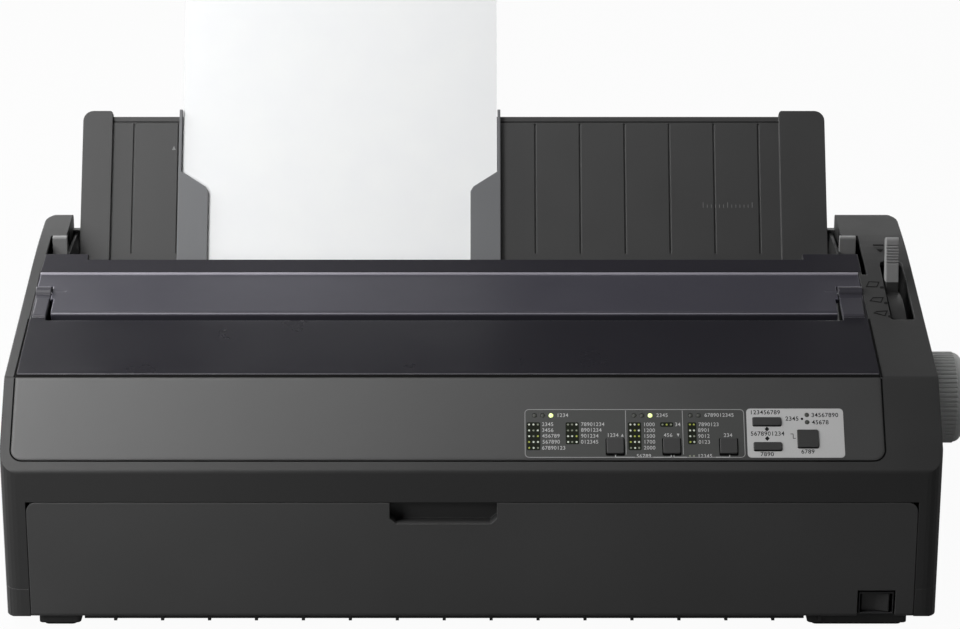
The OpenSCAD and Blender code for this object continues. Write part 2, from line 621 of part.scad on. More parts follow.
module carriage_shaft() color([0.85, 0.85, 0.86]) rod_x(frame_l - 1, frame_r + 1, shaft_at, shaft_r);

module platen_bushes() color([0.85, 0.82, 0.7]) {
    tube_x(frame_l - 3, frame_l + 3, platen_at, 9, shaft_r + run_fit);
    tube_x(frame_r - 3, half_w - 3.4, platen_at, 9, shaft_r + run_fit);
}

// ---------------------------------------------------------------- carriage
module carriage() color([0.14, 0.14, 0.15]) difference() {
    union() {
        box([home_x - 30, 92, 64], [home_x + 30, 116, 88]);
        box([home_x - 26, 79, 87], [home_x + 26, 112, 95]);
        box([home_x - 24, 66, 86.4], [home_x + 24, 80, 95]);
        box([home_x - 12, 82, 52], [home_x + 12, 100, 66]);
    }
    rod_x(home_x - 40, home_x + 40, shaft_at, shaft_r + run_fit);
    // clearance for the belt
    box([home_x - 20, 78.4, belt_z - 0.6], [home_x + 20, 81.6, belt_z + 6.6]);
    box([home_x - 20, 94.4, belt_z - 0.6], [home_x + 20, 97.6, belt_z + 6.6]);
}

module print_head() color([0.25, 0.25, 0.26]) union() {
    // finned body
    box([home_x - 20, 84, 95], [home_x + 20, 112, 116]);
    for (i = [0:6]) box([home_x - 23, 85 + i * 4, 97], [home_x + 23, 86.6 + i * 4, 119]);
    // nose towards the platen
    extrude_x(home_x - 6, home_x + 6) polygon([[112, 95.5], [112, 113], [122.5, 104.5], [122.5, 98]]);
}

belt_path = [for (x = pulley_x) [x, belt_y]];
module belt_outline(r) union() {
    for (p = belt_path) translate(p) circle(r = r);
    translate([pulley_x[0], belt_y - r]) square([pulley_x[1] - pulley_x[0], 2 * r]);
}

module carriage_belt() color([0.08, 0.08, 0.08]) translate([0, 0, belt_z]) linear_extrude(6) difference() {
    belt_outline(pulley_r + 1.4);
    belt_outline(pulley_r + 0.2);
}

module pulley(x) translate([x, belt_y, belt_z - 1.6]) difference() {
    union() {
        cylinder(h = 9.2, r = pulley_r);
        cylinder(h = 1.2, r = pulley_r + 2.6);
        translate([0, 0, 8]) cylinder(h = 1.2, r = pulley_r + 2.6);
    }
    translate([0, 0, -1]) cylinder(h = 12, r = 2.5 + run_fit);
}

module drive_pulley() color([0.8, 0.8, 0.78]) pulley(pulley_x[1]);
module idler_pulley() color([0.8, 0.8, 0.78]) pulley(pulley_x[0]);

module carriage_motor() color([0.3, 0.3, 0.32]) {
    translate([pulley_x[1], belt_y, 15]) cylinder(h = 34, r = 21);
    translate([pulley_x[1], belt_y, 48]) cylinder(h = 18, r = 2.5);
    box([pulley_x[1] - 24, belt_y - 24, 48], [frame_r - 1, belt_y + 10, 50]);
    // bracket of the idler pulley
    translate([pulley_x[0], belt_y, 40]) cylinder(h = 26, r = 2.5);
    box([frame_l + 1, belt_y - 10, 40], [pulley_x[0] + 10, belt_y + 10, 42]);
}

module ribbon_cartridge() color([0.1, 0.1, 0.11]) difference() {
    union() {
        rounded_box([-252, 46, 104], [228, 76, 124], 6);
        for (x = [-252, 214]) box([x, 70, 104], [x + 14, 124, 118]);
        // tabs that rest against the side frames
        for (x = [[frame_l + 1.3, -251], [227, frame_r - 1.3]]) box([x[0], 60, 106], [x[1], 68, 110]);
        // ribbon
        box([-246, 123.8, 104.5], [222, 124.2, 117]);
    }
    translate([180, 61, 110]) cylinder(h = 20, r = 3 + run_fit);
    box([-242, 50, 121.6], [120, 72, 130]);
}

module ribbon_knob() color([0.2, 0.2, 0.21]) translate([180, 61, 0]) {
    translate([0, 0, 111]) cylinder(h = 16, r = 3);
    translate([0, 0, 124.6]) linear_extrude(6)
        polygon([for (i = [0:47]) (i % 4 < 2 ? 11 : 10.2) * [cos(i * 7.5), sin(i * 7.5)]]);
}

// ---------------------------------------------------------------- platen and feed train
// Gear with teeth that narrow towards the tip; a tooth points along the angle turn
module gear(x0, x1, at, teeth, turn, bore) {
    r = teeth * gear_mod / 2;
    pitch = 360 / teeth;
    translate([x0, at[0], at[1]]) rotate([90, 0, 90]) linear_extrude(x1 - x0) difference() {
        polygon([for (i = [0:teeth - 1], k = [[-0.3, -1.25], [-0.13, 0.85], [0.13, 0.85], [0.3, -1.25]])
            (r + k[1] * gear_mod) * [cos(turn + (i + k[0]) * pitch), sin(turn + (i + k[0]) * pitch)]]);
        circle(r = bore);
    }
}

gear_x = [frame_l - 8, frame_l - 3.4];
// Gears lie in mesh: a tooth of one stands in a gap of the next
idler_turn = -50 + 180 + 180 / idler_teeth;
idler_lead = ((-45 - idler_turn) / (360 / idler_teeth)) - round((-45 - idler_turn) / (360 / idler_teeth));
pinion_turn = -45 + 180 + 180 / pinion_teeth + idler_lead * 360 / pinion_teeth;

module platen_gear() color([0.88, 0.88, 0.85])
    gear(gear_x[0], gear_x[1], platen_at, platen_teeth, -50, shaft_r);
module idler_gear() color([0.88, 0.88, 0.85])
    gear(gear_x[0], gear_x[1], idler_at, idler_teeth, idler_turn, 3 + run_fit);
module motor_pinion() color([0.8, 0.7, 0.4])
    gear(gear_x[0], gear_x[1], pinion_at, pinion_teeth, pinion_turn, 2.5 + run_fit);

module platen_roller() color([0.1, 0.1, 0.1])
    tube_x(frame_l + 8, frame_r - 8, platen_at, platen_d / 2, shaft_r);
module platen_shaft() color([0.8, 0.8, 0.82]) rod_x(frame_l - 12, knob_end_x - 6, platen_at, shaft_r);

knob_grooves = 60;
module platen_knob() color([0.4, 0.41, 0.4])
    translate([half_w + 0.6, platen_at[0], platen_at[1]]) rotate([90, 0, 90])
    difference() {
        union() {
            // knurled rim
            linear_extrude(knob_end_x - half_w - 6) polygon([
                for (i = [0:knob_grooves - 1], k = [[0, 1], [0.55, 1], [0.7, 0.972], [0.85, 0.972]])
                    let (a = (i + k[0]) * 360 / knob_grooves) knob_d / 2 * k[1] * [cos(a), sin(a)]]);
            // rounded outer edge
            translate([0, 0, knob_end_x - half_w - 7]) rotate_extrude($fn = 96) polygon(rounded(
                [[0, 0, 0], [knob_d / 2 - 0.6, 0, 0], [knob_d / 2 - 0.6, 6.4, 5.2], [0, 6.4, 0]]));
        }
        translate([0, 0, -1]) cylinder(h = knob_end_x - half_w - 5.6, r = shaft_r);
        translate([0, 0, -1]) difference() {
            cylinder(h = 20, r = knob_d / 2 - 4);
            cylinder(h = 22, r = 12);
        }
    }

module feed_motor() color([0.28, 0.28, 0.3]) {
    rod_x(frame_l + 1, frame_l + 26, pinion_at, 20);
    rod_x(frame_l - 9, frame_l + 2, pinion_at, 2.5);
}

module pressure_rollers() color([0.12, 0.12, 0.12]) {
    rod_x(frame_l - 1.4, frame_r + 1.4, press_at, 3);
    for (x = [-220:110:200]) rod_x(x, x + 24, press_at, press_r);
}

// ---------------------------------------------------------------- release lever
lever_x = [270.8, 278.8];
lever_tilt = 10;
lever_r = 106.5;                      // reach of the lever's tip from its axis
shield_r = 67.6;                      // inner radius of the shield that closes the slot
groove_pitch = 1.87;

module release_lever() color([0.45, 0.45, 0.45]) difference() {
    union() {
        rod_x(lever_x[0], lever_x[1], platen_at, 14);
        // blade and grooved tip
        translate([0, platen_at[0], platen_at[1]]) rotate([-lever_tilt, 0, 0]) {
            difference() {
                extrude_x(lever_x[0], lever_x[1]) polygon(rounded([[-6, 8, 0], [6, 8, 0], [5, 74, 2],
                    [6, lever_r - 2, 2.4], [-3, lever_r, 2.4], [-5, 74, 4]]));
                for (i = [0:6]) box([lever_x[0] - 1, -8, lever_r - 17.4 + i * groove_pitch],
                    [lever_x[1] + 1, -3.4 + i * 0.08, lever_r - 16.6 + i * groove_pitch]);
            }
        }
        // curved shield that closes the slot
        translate([lever_x[0] - 0.4, platen_at[0], platen_at[1]]) rotate([90, 0, 90]) rotate([0, 0, 52])
            rotate_extrude(angle = 76, $fn = 96) translate([shield_r, 0]) square([2.6, 9.2]);
    }
    rod_x(lever_x[0] - 1, lever_x[1] + 1, platen_at, 9 + run_fit);
}

// ---------------------------------------------------------------- tractors
module tractor_body(x, side) difference() {
    union() {
        // ears for the lid's pin
        for (y = [301, 317.5]) translate([x, y, 0]) rotate([90, 0, 0]) mirror([side > 0 ? 0 : 1, 0, 0])
            translate([0, 0, -3.5]) linear_extrude(3.5) polygon(rounded([[6, 116, 0], [9, 116, 0],
                [lid_axis[0] + 2.4, 125, 1], [lid_axis[0] + 2.4, 133.4, 2], [lid_axis[0] - 2.4, 133.4, 2],
                [lid_axis[0] - 2.4, 128.2, 0], [6, 128.2, 0]]));
        extrude_x(x - 8, x + 8) polygon(rounded([[288, 104, 4], [336, 104, 4], [338, 124, 5], [330, 129, 3],
            [292, 129, 5]]));
        // pins that carry the paper's edge holes
        for (i = [0:3]) translate([x, 298 + i * 9, 128]) cylinder(h = 2.6, r = 1.9, $fn = 20);
    }
    rod_x(x - 16, x + 16, tractor_at, 4 + run_fit);
    rod_x(x - 16, x + 16, tractor_rod_at, 3 + run_fit);
    pin_y(x + side * lid_axis[0], 300, 322, lid_axis[1], 1.2 + run_fit);
}

lid_axis = [12, 131.2];               // from the tractor's middle plane, and height

module pin_y(x, y0, y1, z, r) translate([x, y1, z]) rotate([90, 0, 0]) cylinder(h = y1 - y0, r = r);

// The lid turns about a pin along the tractor's outer side; side is -1 for the left one
module tractor_lid(x, side) union() {
    difference() {
        rounded_box([x - 9, 290, lid_axis[1] + 0.2], [x + 9, 332, lid_axis[1] + 2.2], 4);
        box([x - 3, 294, lid_axis[1] - 1], [x + 3, 329, lid_axis[1] + 4]);
    }
    box([x + min(side * 7, side * lid_axis[0]), 306, lid_axis[1] + 0.2],
        [x + max(side * 7, side * lid_axis[0]), 316, lid_axis[1] + 2.2]);
    pin_y(x + side * lid_axis[0], 301, 321, lid_axis[1], 1.2);
    pin_y(x + side * lid_axis[0], 306, 316, lid_axis[1], 2.2);
}

module tractor_left() color([0.24, 0.24, 0.25]) tractor_body(-200, -1);
module tractor_right() color([0.24, 0.24, 0.25]) tractor_body(150, 1);
module tractor_lid_left() color([0.28, 0.28, 0.3]) tractor_lid(-200, -1);
module tractor_lid_right() color([0.28, 0.28, 0.3]) tractor_lid(150, 1);
module tractor_shaft() color([0.8, 0.8, 0.82]) rod_x(-234, 224, tractor_at, 4);
module tractor_rod() color([0.8, 0.8, 0.82]) rod_x(-236, 226, tractor_rod_at, 3);

// ---------------------------------------------------------------- electrics
board_z = base_z + 9;                 // boards stand on bosses
board_top = board_z + 1.6 - eps;

module main_board() color([0.1, 0.35, 0.2]) {
    box([-246, 234, board_z], [-54, 378, board_z + 1.6]);
    for (i = [0:2]) box([-230 + i * 50, 250, board_top], [-204 + i * 50, 276, board_top + 2.8]);
    box([-220, 300, board_top], [-180, 312, board_top + 4.4]);
    for (i = [0:3]) translate([-90, 260 + i * 20, board_top]) cylinder(h = 14, r = 6);
}

module power_supply() color([0.5, 0.42, 0.25]) {
    box([72, 234, board_z], [224, 362, board_z + 1.6]);
    box([150, 260, board_top], [206, 310, board_top + 41]);
    for (i = [0:1]) translate([100, 265 + i * 34, board_top]) cylinder(h = 34, r = 13);
    for (x = [86, 130]) box([x, 326, board_top], [x + 3, 352, board_top + 31]);
}

// Guides the sheet from the paper guide down to the platen
module paper_chute() color([0.68, 0.69, 0.7]) union() {
    extrude_x(frame_l + 1, frame_r - 1) polygon([[232, 134.4], [206, 98], [180, 92],
        [180, 90.4], [206.8, 96.4], [233.2, 133.2]]);
    extrude_x(frame_l + 8, frame_r - 8) polygon([[250, 146.4], [236, 140], [231.4, 133.6],
        [232.8, 132.6], [237, 138.4], [250, 144.6]]);
}

module ac_inlet() color([0.08, 0.08, 0.08]) difference() {
    box([inlet_x[0], case_d - 24, inlet_z[0]], [inlet_x[1], case_d - 0.6, inlet_z[1]]);
    box([inlet_x[0] + 2.4, case_d - 18, inlet_z[0] + 2.4], [inlet_x[1] - 2.4, case_d + 2, inlet_z[1] - 2.4]);
}

module parallel_port() color([0.7, 0.7, 0.72]) difference() {
    union() {
        box([parallel_x[0], case_d - 20, parallel_z[0]], [parallel_x[1], case_d - 0.6, parallel_z[1]]);
        box([parallel_x[0], case_d - 26, board_z + 1.6], [parallel_x[1], case_d - 19, parallel_z[1] - 4]);
    }
    box([parallel_x[0] + 4, case_d - 10, parallel_z[0] + 3],
        [parallel_x[1] - 4, case_d + 2, parallel_z[1] - 3]);
}

module usb_port() color([0.75, 0.75, 0.77]) difference() {
    union() {
        box([usb_x[0], case_d - 20, usb_z[0]], [usb_x[1], case_d - 0.6, usb_z[1]]);
        box([usb_x[0], case_d - 26, board_z + 1.6], [usb_x[1], case_d - 19, usb_z[1] - 2]);
    }
    box([usb_x[0] + 1.4, case_d - 12, usb_z[0] + 1.4], [usb_x[1] - 1.4, case_d + 2, usb_z[1] - 1.4]);
}

module rubber_feet() color([0.06, 0.06, 0.06]) for (f = foot_blocks)
    rounded_box([f[0] + 3, f[1] + 4, 0], [f[0] + f[2] - 3, f[1] + f[3] - 3, 2.2], 3);

module case_screws() color("silver") for (x = [-278, 278], y = [60, 360]) translate([x, y, base_z + 1]) {
    translate([0, 0, 4]) cylinder(h = 28, r = 1.5);
    translate([0, 0, 0.6]) cylinder(h = 3.4, r = 3.6);
}

in_frame() lower_case();
in_frame() upper_case();
in_frame() control_panel();
in_frame() window_cover();
in_frame() tear_off_cover();
in_frame() window_hinge_pins();
in_frame() cover_pivot_pins();
in_frame() front_cover();
in_frame() power_switch_body();
in_frame() power_rocker();
in_frame() button_pitch();
in_frame() button_item();
in_frame() button_font();
in_frame() button_load();
in_frame() button_feed();
in_frame() button_pause();
in_frame() status_lamps();
in_frame() paper_guide();
in_frame() edge_guide_left();
in_frame() edge_guide_right();
in_frame() paper_sheet();
in_frame() guide_post_left();
in_frame() guide_post_right();
in_frame() side_frame_left();
in_frame() side_frame_right();
in_frame() front_rail();
in_frame() carriage_shaft();
in_frame() carriage();
in_frame() print_head();
in_frame() carriage_belt();
in_frame() drive_pulley();
in_frame() idler_pulley();
in_frame() carriage_motor();
in_frame() ribbon_cartridge();
in_frame() ribbon_knob();
in_frame() platen_roller();
in_frame() platen_shaft();
in_frame() platen_gear();
in_frame() platen_knob();
in_frame() platen_bushes();
in_frame() idler_gear();
in_frame() motor_pinion();
in_frame() feed_motor();
in_frame() pressure_rollers();
in_frame() release_lever();
in_frame() tractor_left();
in_frame() tractor_right();
in_frame() tractor_lid_left();
in_frame() tractor_lid_right();
in_frame() tractor_shaft();
in_frame() tractor_rod();
in_frame() paper_chute();
in_frame() main_board();
in_frame() power_supply();
in_frame() ac_inlet();
in_frame() parallel_port();
in_frame() usb_port();
in_frame() rubber_feet();
in_frame() case_screws();
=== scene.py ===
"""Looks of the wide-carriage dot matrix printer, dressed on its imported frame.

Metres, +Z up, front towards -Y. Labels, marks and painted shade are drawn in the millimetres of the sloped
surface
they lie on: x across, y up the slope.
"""
import math

import bmesh
import bpy
from mathutils import Matrix, Vector


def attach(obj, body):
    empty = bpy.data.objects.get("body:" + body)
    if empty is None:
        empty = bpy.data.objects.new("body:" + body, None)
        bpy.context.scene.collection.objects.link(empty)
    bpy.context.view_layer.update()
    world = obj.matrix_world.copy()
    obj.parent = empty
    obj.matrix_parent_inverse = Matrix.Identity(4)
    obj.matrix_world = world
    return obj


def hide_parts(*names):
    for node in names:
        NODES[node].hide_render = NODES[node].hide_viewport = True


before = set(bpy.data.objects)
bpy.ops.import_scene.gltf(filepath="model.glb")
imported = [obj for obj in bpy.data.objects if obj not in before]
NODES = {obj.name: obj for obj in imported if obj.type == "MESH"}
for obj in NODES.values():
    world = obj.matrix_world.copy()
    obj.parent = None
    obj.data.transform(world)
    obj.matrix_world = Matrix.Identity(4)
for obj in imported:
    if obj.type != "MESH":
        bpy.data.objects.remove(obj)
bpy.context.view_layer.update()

MM = 0.001

# ---------------------------------------------------------------- places, from the case's dimensions (mm)
ORIGIN = Vector((15.5, 199.0, 0.0))   # the row frame's origin, seen from the middle of the case's front edge
BEND_Z = 105.0
BEND_Y = 42.0
PANEL_ANGLE = math.radians(48)
COVER_ANGLE = math.radians(12)
GUIDE_ANGLE = math.radians(59.1)
GUIDE_FOOT = (243.3, 160.0)
PLATEN_AT = (145.0, 101.0)
HANDLE_FROM = 77.0                    # radius at which the release lever's light handle starts
PARTING = 0.3                         # width of the line between its two colours


def local_frame(y, z, angle):
    """Matrix from a sloped surface's millimetres (x across, y up the slope, z out) to the row frame."""
    place = Matrix.Translation((Vector((0, y, z)) - ORIGIN) * MM)
    return place @ Matrix.Rotation(angle, 4, "X") @ Matrix.Scale(MM, 4)


ON_PANEL = local_frame(0, BEND_Z, PANEL_ANGLE)
ON_COVER = local_frame(BEND_Y, BEND_Z + BEND_Y * math.tan(PANEL_ANGLE), COVER_ANGLE)
ON_GUIDE = local_frame(GUIDE_FOOT[0], GUIDE_FOOT[1], GUIDE_ANGLE)


# ---------------------------------------------------------------- materials
def linear(level):
    """Linear value of an 8-bit grey level."""
    v = level / 255
    return v / 12.92 if v <= 0.04045 else ((v + 0.055) / 1.055) ** 2.4


def colour(r, g, b):
    return (linear(r), linear(g), linear(b), 1)


def scaled(base, factor, lift=0.0):
    """A colour times factor, plus lift."""
    return [c * factor + lift for c in base[:3]] + [1]


# Sockets of the mix node when it mixes colours, which share their names with its other kinds
MIX_FACTOR = 0
MIX_A = 6
MIX_B = 7
MIX_RESULT = 2
EDGE_SAMPLES = 6


class Nodes:
    """A material's node tree, with short calls for the nodes that the finishes share."""

    def __init__(self, name):
        self.material = bpy.data.materials.new(name)
        self.material.use_nodes = True
        self.tree = self.material.node_tree
        self.shader = self.tree.nodes["Principled BSDF"]
        self.place = self.add("ShaderNodeTexCoord").outputs["Object"]

    def add(self, kind, **inputs):
        node = self.tree.nodes.new(kind)
        for key, value in inputs.items():
            self.set(node, key.replace("_", " "), value)
        return node

    def set(self, node, key, value):
        socket = node.inputs[key]
        if isinstance(value, bpy.types.NodeSocket):
            self.tree.links.new(value, socket)
        else:
            socket.default_value = value

    def noise(self, scale, detail=2.0, roughness=0.5, stretch=None):
        place = self.place
        if stretch:
            place = self.add("ShaderNodeMapping", Vector=place, Scale=stretch).outputs[0]
        return self.add("ShaderNodeTexNoise", Vector=place, Scale=scale, Detail=detail,
                        Roughness=roughness).outputs["Fac"]

    def spread(self, value, low, high, start=0.3, end=0.7):
        """Maps a 0 to 1 pattern to the range low to high."""
        node = self.add("ShaderNodeMapRange", Value=value, From_Min=start, From_Max=end,
                        To_Min=low, To_Max=high)
        return node.outputs["Result"]

    def mix(self, factor, a, b):
        node = self.tree.nodes.new("ShaderNodeMix")
        node.data_type = "RGBA"
        for key, value in ((MIX_FACTOR, factor), (MIX_A, a), (MIX_B, b)):
            self.set(node, key, value)
        return node.outputs[MIX_RESULT]

    def edges(self, radius):
        """Rounded normal, and a mask that is 1 on the edges it rounds."""
        bevel = self.add("ShaderNodeBevel", Radius=radius)
        bevel.samples = EDGE_SAMPLES
        face = self.add("ShaderNodeNewGeometry").outputs["Normal"]
        dot = self.tree.nodes.new("ShaderNodeVectorMath")
        dot.operation = "DOT_PRODUCT"
        self.set(dot, 0, bevel.outputs[0])
        self.set(dot, 1, face)
        return bevel.outputs[0], self.spread(dot.outputs["Value"], 1.0, 0.0, 0.9, 1.0)

    def bump(self, height, distance, normal=None, strength=1.0):
        node = self.add("ShaderNodeBump", Height=height, Distance=distance, Strength=strength)
        if normal is not None:
            self.set(node, "Normal", normal)
        return node.outputs[0]

    def finish(self, **inputs):
        for key, value in inputs.items():
            self.set(self.shader, key.replace("_", " "), value)
        return self.material


def moulded(name, base, roughness=0.5, specular=0.35, grain=0.5, edge=0.0008, wear_and_sheen=0.25):
    """Moulded plastic: spark-eroded grain, slow random changes of tone and gloss, edges lighter from wear
    and painted highlight.
    """
    n = Nodes(name)
    normal, rim = n.edges(edge)
    shade = n.spread(n.noise(7, 3), 0.0, 1.0)
    paint = n.mix(shade, scaled(base, 0.92), scaled(base, 1.08))
    # Lighter edges: partly wear, partly painted highlight on edges that would catch the light
    paint = n.mix(rim, paint, scaled(base, 1 + wear_and_sheen, 0.004))
    gloss = n.spread(n.noise(45, 4), roughness - 0.03, roughness + 0.03)
    height = n.noise(1500, 2, 0.6)
    return n.finish(Base_Color=paint, Roughness=gloss, Normal=n.bump(height, 0.00002, normal, grain),
                    Specular_IOR_Level=specular)


def lever_plastic(name, light, dark):
    """Two-shot moulding: a light handle on a dark hub, parted at a radius from the lever's axis."""
    material = moulded(name, light, 0.45)
    tree = material.node_tree
    shader = tree.nodes["Principled BSDF"]
    handle = shader.inputs["Base Color"].links[0].from_socket
    place = tree.nodes.new("ShaderNodeTexCoord")
    flat = tree.nodes.new("ShaderNodeVectorMath")
    flat.operation = "MULTIPLY"
    flat.inputs[1].default_value = (0, 1, 1)
    away = tree.nodes.new("ShaderNodeVectorMath")
    away.operation = "DISTANCE"
    away.inputs[1].default_value = (Vector((0, *PLATEN_AT)) - Vector((0, ORIGIN.y, 0))) * MM
    step = tree.nodes.new("ShaderNodeMapRange")
    step.inputs["From Min"].default_value = HANDLE_FROM * MM
    step.inputs["From Max"].default_value = (HANDLE_FROM + PARTING) * MM
    paint = tree.nodes.new("ShaderNodeMix")
    paint.data_type = "RGBA"
    paint.inputs[MIX_A].default_value = dark
    tree.links.new(place.outputs["Object"], flat.inputs[0])
    tree.links.new(flat.outputs[0], away.inputs[0])
    tree.links.new(away.outputs["Value"], step.inputs["Value"])
    tree.links.new(step.outputs["Result"], paint.inputs[MIX_FACTOR])
    tree.links.new(handle, paint.inputs[MIX_B])
    tree.links.new(paint.outputs[MIX_RESULT], shader.inputs["Base Color"])
    return material


def metal(name, base, roughness=0.3, brushed=(1, 1, 1)):
    """Sheet or turned metal with fine tool lines."""
    n = Nodes(name)
    normal, _ = n.edges(0.0004)
    lines = n.noise(260, 4, 0.6, brushed)
    paint = n.mix(n.spread(lines, 0, 1), scaled(base, 0.88), base)
    gloss = n.spread(lines, roughness - 0.06, roughness + 0.08)
    return n.finish(Base_Color=paint, Metallic=1.0, Roughness=gloss,
                    Normal=n.bump(lines, 0.000015, normal, 0.5))


def rubber(name, base):
    """Ground rubber: matt, with a fine pitted surface."""
    n = Nodes(name)
    normal, _ = n.edges(0.0006)
    pits = n.noise(900, 5, 0.7)
    paint = n.mix(n.spread(n.noise(20, 4), 0, 1), base, scaled(base, 1.4, 0.002))
    return n.finish(Base_Color=paint, Roughness=n.spread(pits, 0.68, 0.86), Specular_IOR_Level=0.3,
                    Normal=n.bump(pits, 0.00003, normal, 0.7))


def smoked(name):
    """Smoked acrylic: dark, glossy, and clear enough to show what moves below it."""
    n = Nodes(name)
    normal, rim = n.edges(0.0006)
    haze = n.noise(4, 3)
    tint = n.mix(n.spread(haze, 0, 1), colour(35, 34, 40), colour(39, 38, 44))
    # Painted highlight: the pane's rounded edges are made light grey
    tint = n.mix(rim, tint, colour(112, 111, 116))
    return n.finish(Base_Color=tint, Roughness=n.spread(n.noise(25, 4), 0.27, 0.32),
                    Transmission_Weight=0.5, IOR=1.45, Specular_IOR_Level=0.22,
                    Normal=n.bump(n.noise(30, 2), 0.00001, normal, 0.3))


def paper(name):
    """Uncoated paper: short fibres, a soft mottle, and light coming through it."""
    n = Nodes(name)
    fibres = n.noise(700, 6, 0.75, (1, 3, 1))
    mottle = n.noise(40, 3)
    paint = n.mix(n.spread(mottle, 0, 1), colour(220, 221, 222), colour(222, 223, 223))
    return n.finish(Base_Color=paint, Roughness=n.spread(fibres, 0.78, 0.9), Specular_IOR_Level=0.2,
                    Subsurface_Weight=0.08, Subsurface_Radius=(0.001, 0.001, 0.001),
                    Normal=n.bump(fibres, 0.00002, None, 0.4))


def printed_film(name, base, roughness=0.45, specular=0.3):
    """Screen-printed film: a fine dither in the ink, under a satin coat."""
    n = Nodes(name)
    dither = n.noise(2600, 1, 0.5)
    paint = n.mix(n.spread(dither, 0, 1), scaled(base, 0.93), base)
    return n.finish(Base_Color=paint, Roughness=n.spread(n.noise(60, 3), roughness - 0.05, roughness + 0.05),
                    Specular_IOR_Level=specular, Normal=n.bump(n.noise(1900, 2), 0.00001, None, 0.4))


def lamp_lens(name, base, glow):
    """Moulded lamp lens: tinted, glossy and finely flecked, and glowing where it is lit."""
    n = Nodes(name)
    fleck = n.spread(n.noise(900, 3), 0, 1)
    paint = n.mix(fleck, scaled(base, 0.8), base)
    values = {"Base_Color": paint, "Roughness": 0.55}
    if glow:
        values.update(Emission_Color=paint, Emission_Strength=glow, Roughness=0.25)
    return n.finish(**values)


def circuit_board(name):
    """Board lacquer over a faint pattern of copper."""
    n = Nodes(name)
    cells = n.add("ShaderNodeTexBrick", Vector=n.place, Scale=90.0, Mortar_Size=0.04)
    paint = n.mix(n.spread(cells.outputs["Fac"], 0, 1, 0, 1), colour(22, 84, 48), colour(34, 110, 62))
    return n.finish(Base_Color=paint, Roughness=n.spread(n.noise(200, 3), 0.3, 0.45), Coat_Weight=0.3,
                    Normal=n.bump(cells.outputs["Fac"], 0.00004, None, 0.5))


CASE = moulded("case_plastic", colour(41, 41, 41), 0.46, specular=0.3)
# Painted light: a lighter copy of the case plastic, to make up for the shade on the recessed base
LOWER = moulded("lower_case_plastic", colour(43, 43, 43), 0.46, specular=0.3)
# Its edges, with the rounded top edge, get a wide painted highlight
PANEL = moulded("panel_plastic", colour(52, 52, 52), 0.4, specular=0.45, edge=0.0026, wear_and_sheen=0.9)
COVER = moulded("front_cover_plastic", colour(60, 60, 60), 0.46, specular=0.25)
# Strong painted highlight along the flap's edges
FLAP = moulded("flap_plastic", colour(48, 47, 54), 0.42, edge=0.0011, wear_and_sheen=2.6)
ARM = moulded("hinge_arm_plastic", colour(44, 43, 49), 0.42)
# Painted highlight for the flap's rear bead and front crest
FLAP_HIGHLIGHT = moulded("flap_painted_highlight", colour(124, 122, 130), 0.36)
STRIP_FINISH = moulded("rear_strip_plastic", colour(29, 28, 33), 0.6, specular=0.1)
GUIDE = moulded("guide_plastic", colour(52, 52, 52), 0.46)
GUIDE_EDGE = moulded("edge_guide_plastic", colour(97, 98, 100), 0.48)
POST = moulded("post_plastic", colour(108, 108, 108), 0.5, wear_and_sheen=0.0)
KNOB = moulded("knob_plastic", colour(198, 199, 198), 0.5)
LEVER = lever_plastic("lever_plastic", colour(122, 122, 122), colour(38, 38, 38))
# Lighter key edges: partly wear, partly painted highlight
BUTTON = moulded("button_plastic", colour(46, 46, 46), 0.42, edge=0.0006, wear_and_sheen=0.5)
DARK = moulded("dark_plastic", colour(34, 34, 35), 0.45)
GEAR = moulded("gear_plastic", colour(226, 224, 214), 0.4, grain=0.2)
PULLEY = moulded("pulley_plastic", colour(205, 203, 196), 0.4, grain=0.2)
BUSH = moulded("bush_plastic", colour(214, 206, 176), 0.42, grain=0.2)
SMOKED = smoked("smoked_acrylic")
PAPER = paper("paper")
FRAME = moulded("frame_paint", colour(30, 30, 30), 0.5, grain=0.3)
STEEL_SHEET = metal("zinc_sheet", colour(128, 129, 132), 0.48, (1, 1, 6))
STEEL_ROD = metal("turned_steel", colour(200, 200, 204), 0.22, (0.1, 4, 4))
BRASS = metal("brass", colour(196, 168, 100), 0.3)
MOTOR = metal("motor_can", colour(120, 120, 124), 0.42, (1, 1, 5))
HEAD = metal("cast_head", colour(74, 74, 78), 0.5)
PORT = metal("plated_shell", colour(190, 190, 194), 0.28)
PLATEN = rubber("platen_rubber", colour(30, 30, 30))
FEET = rubber("foot_rubber", colour(26, 26, 26))
BELT = rubber("belt_rubber", colour(28, 28, 28))
BOARD = circuit_board("board_lacquer")

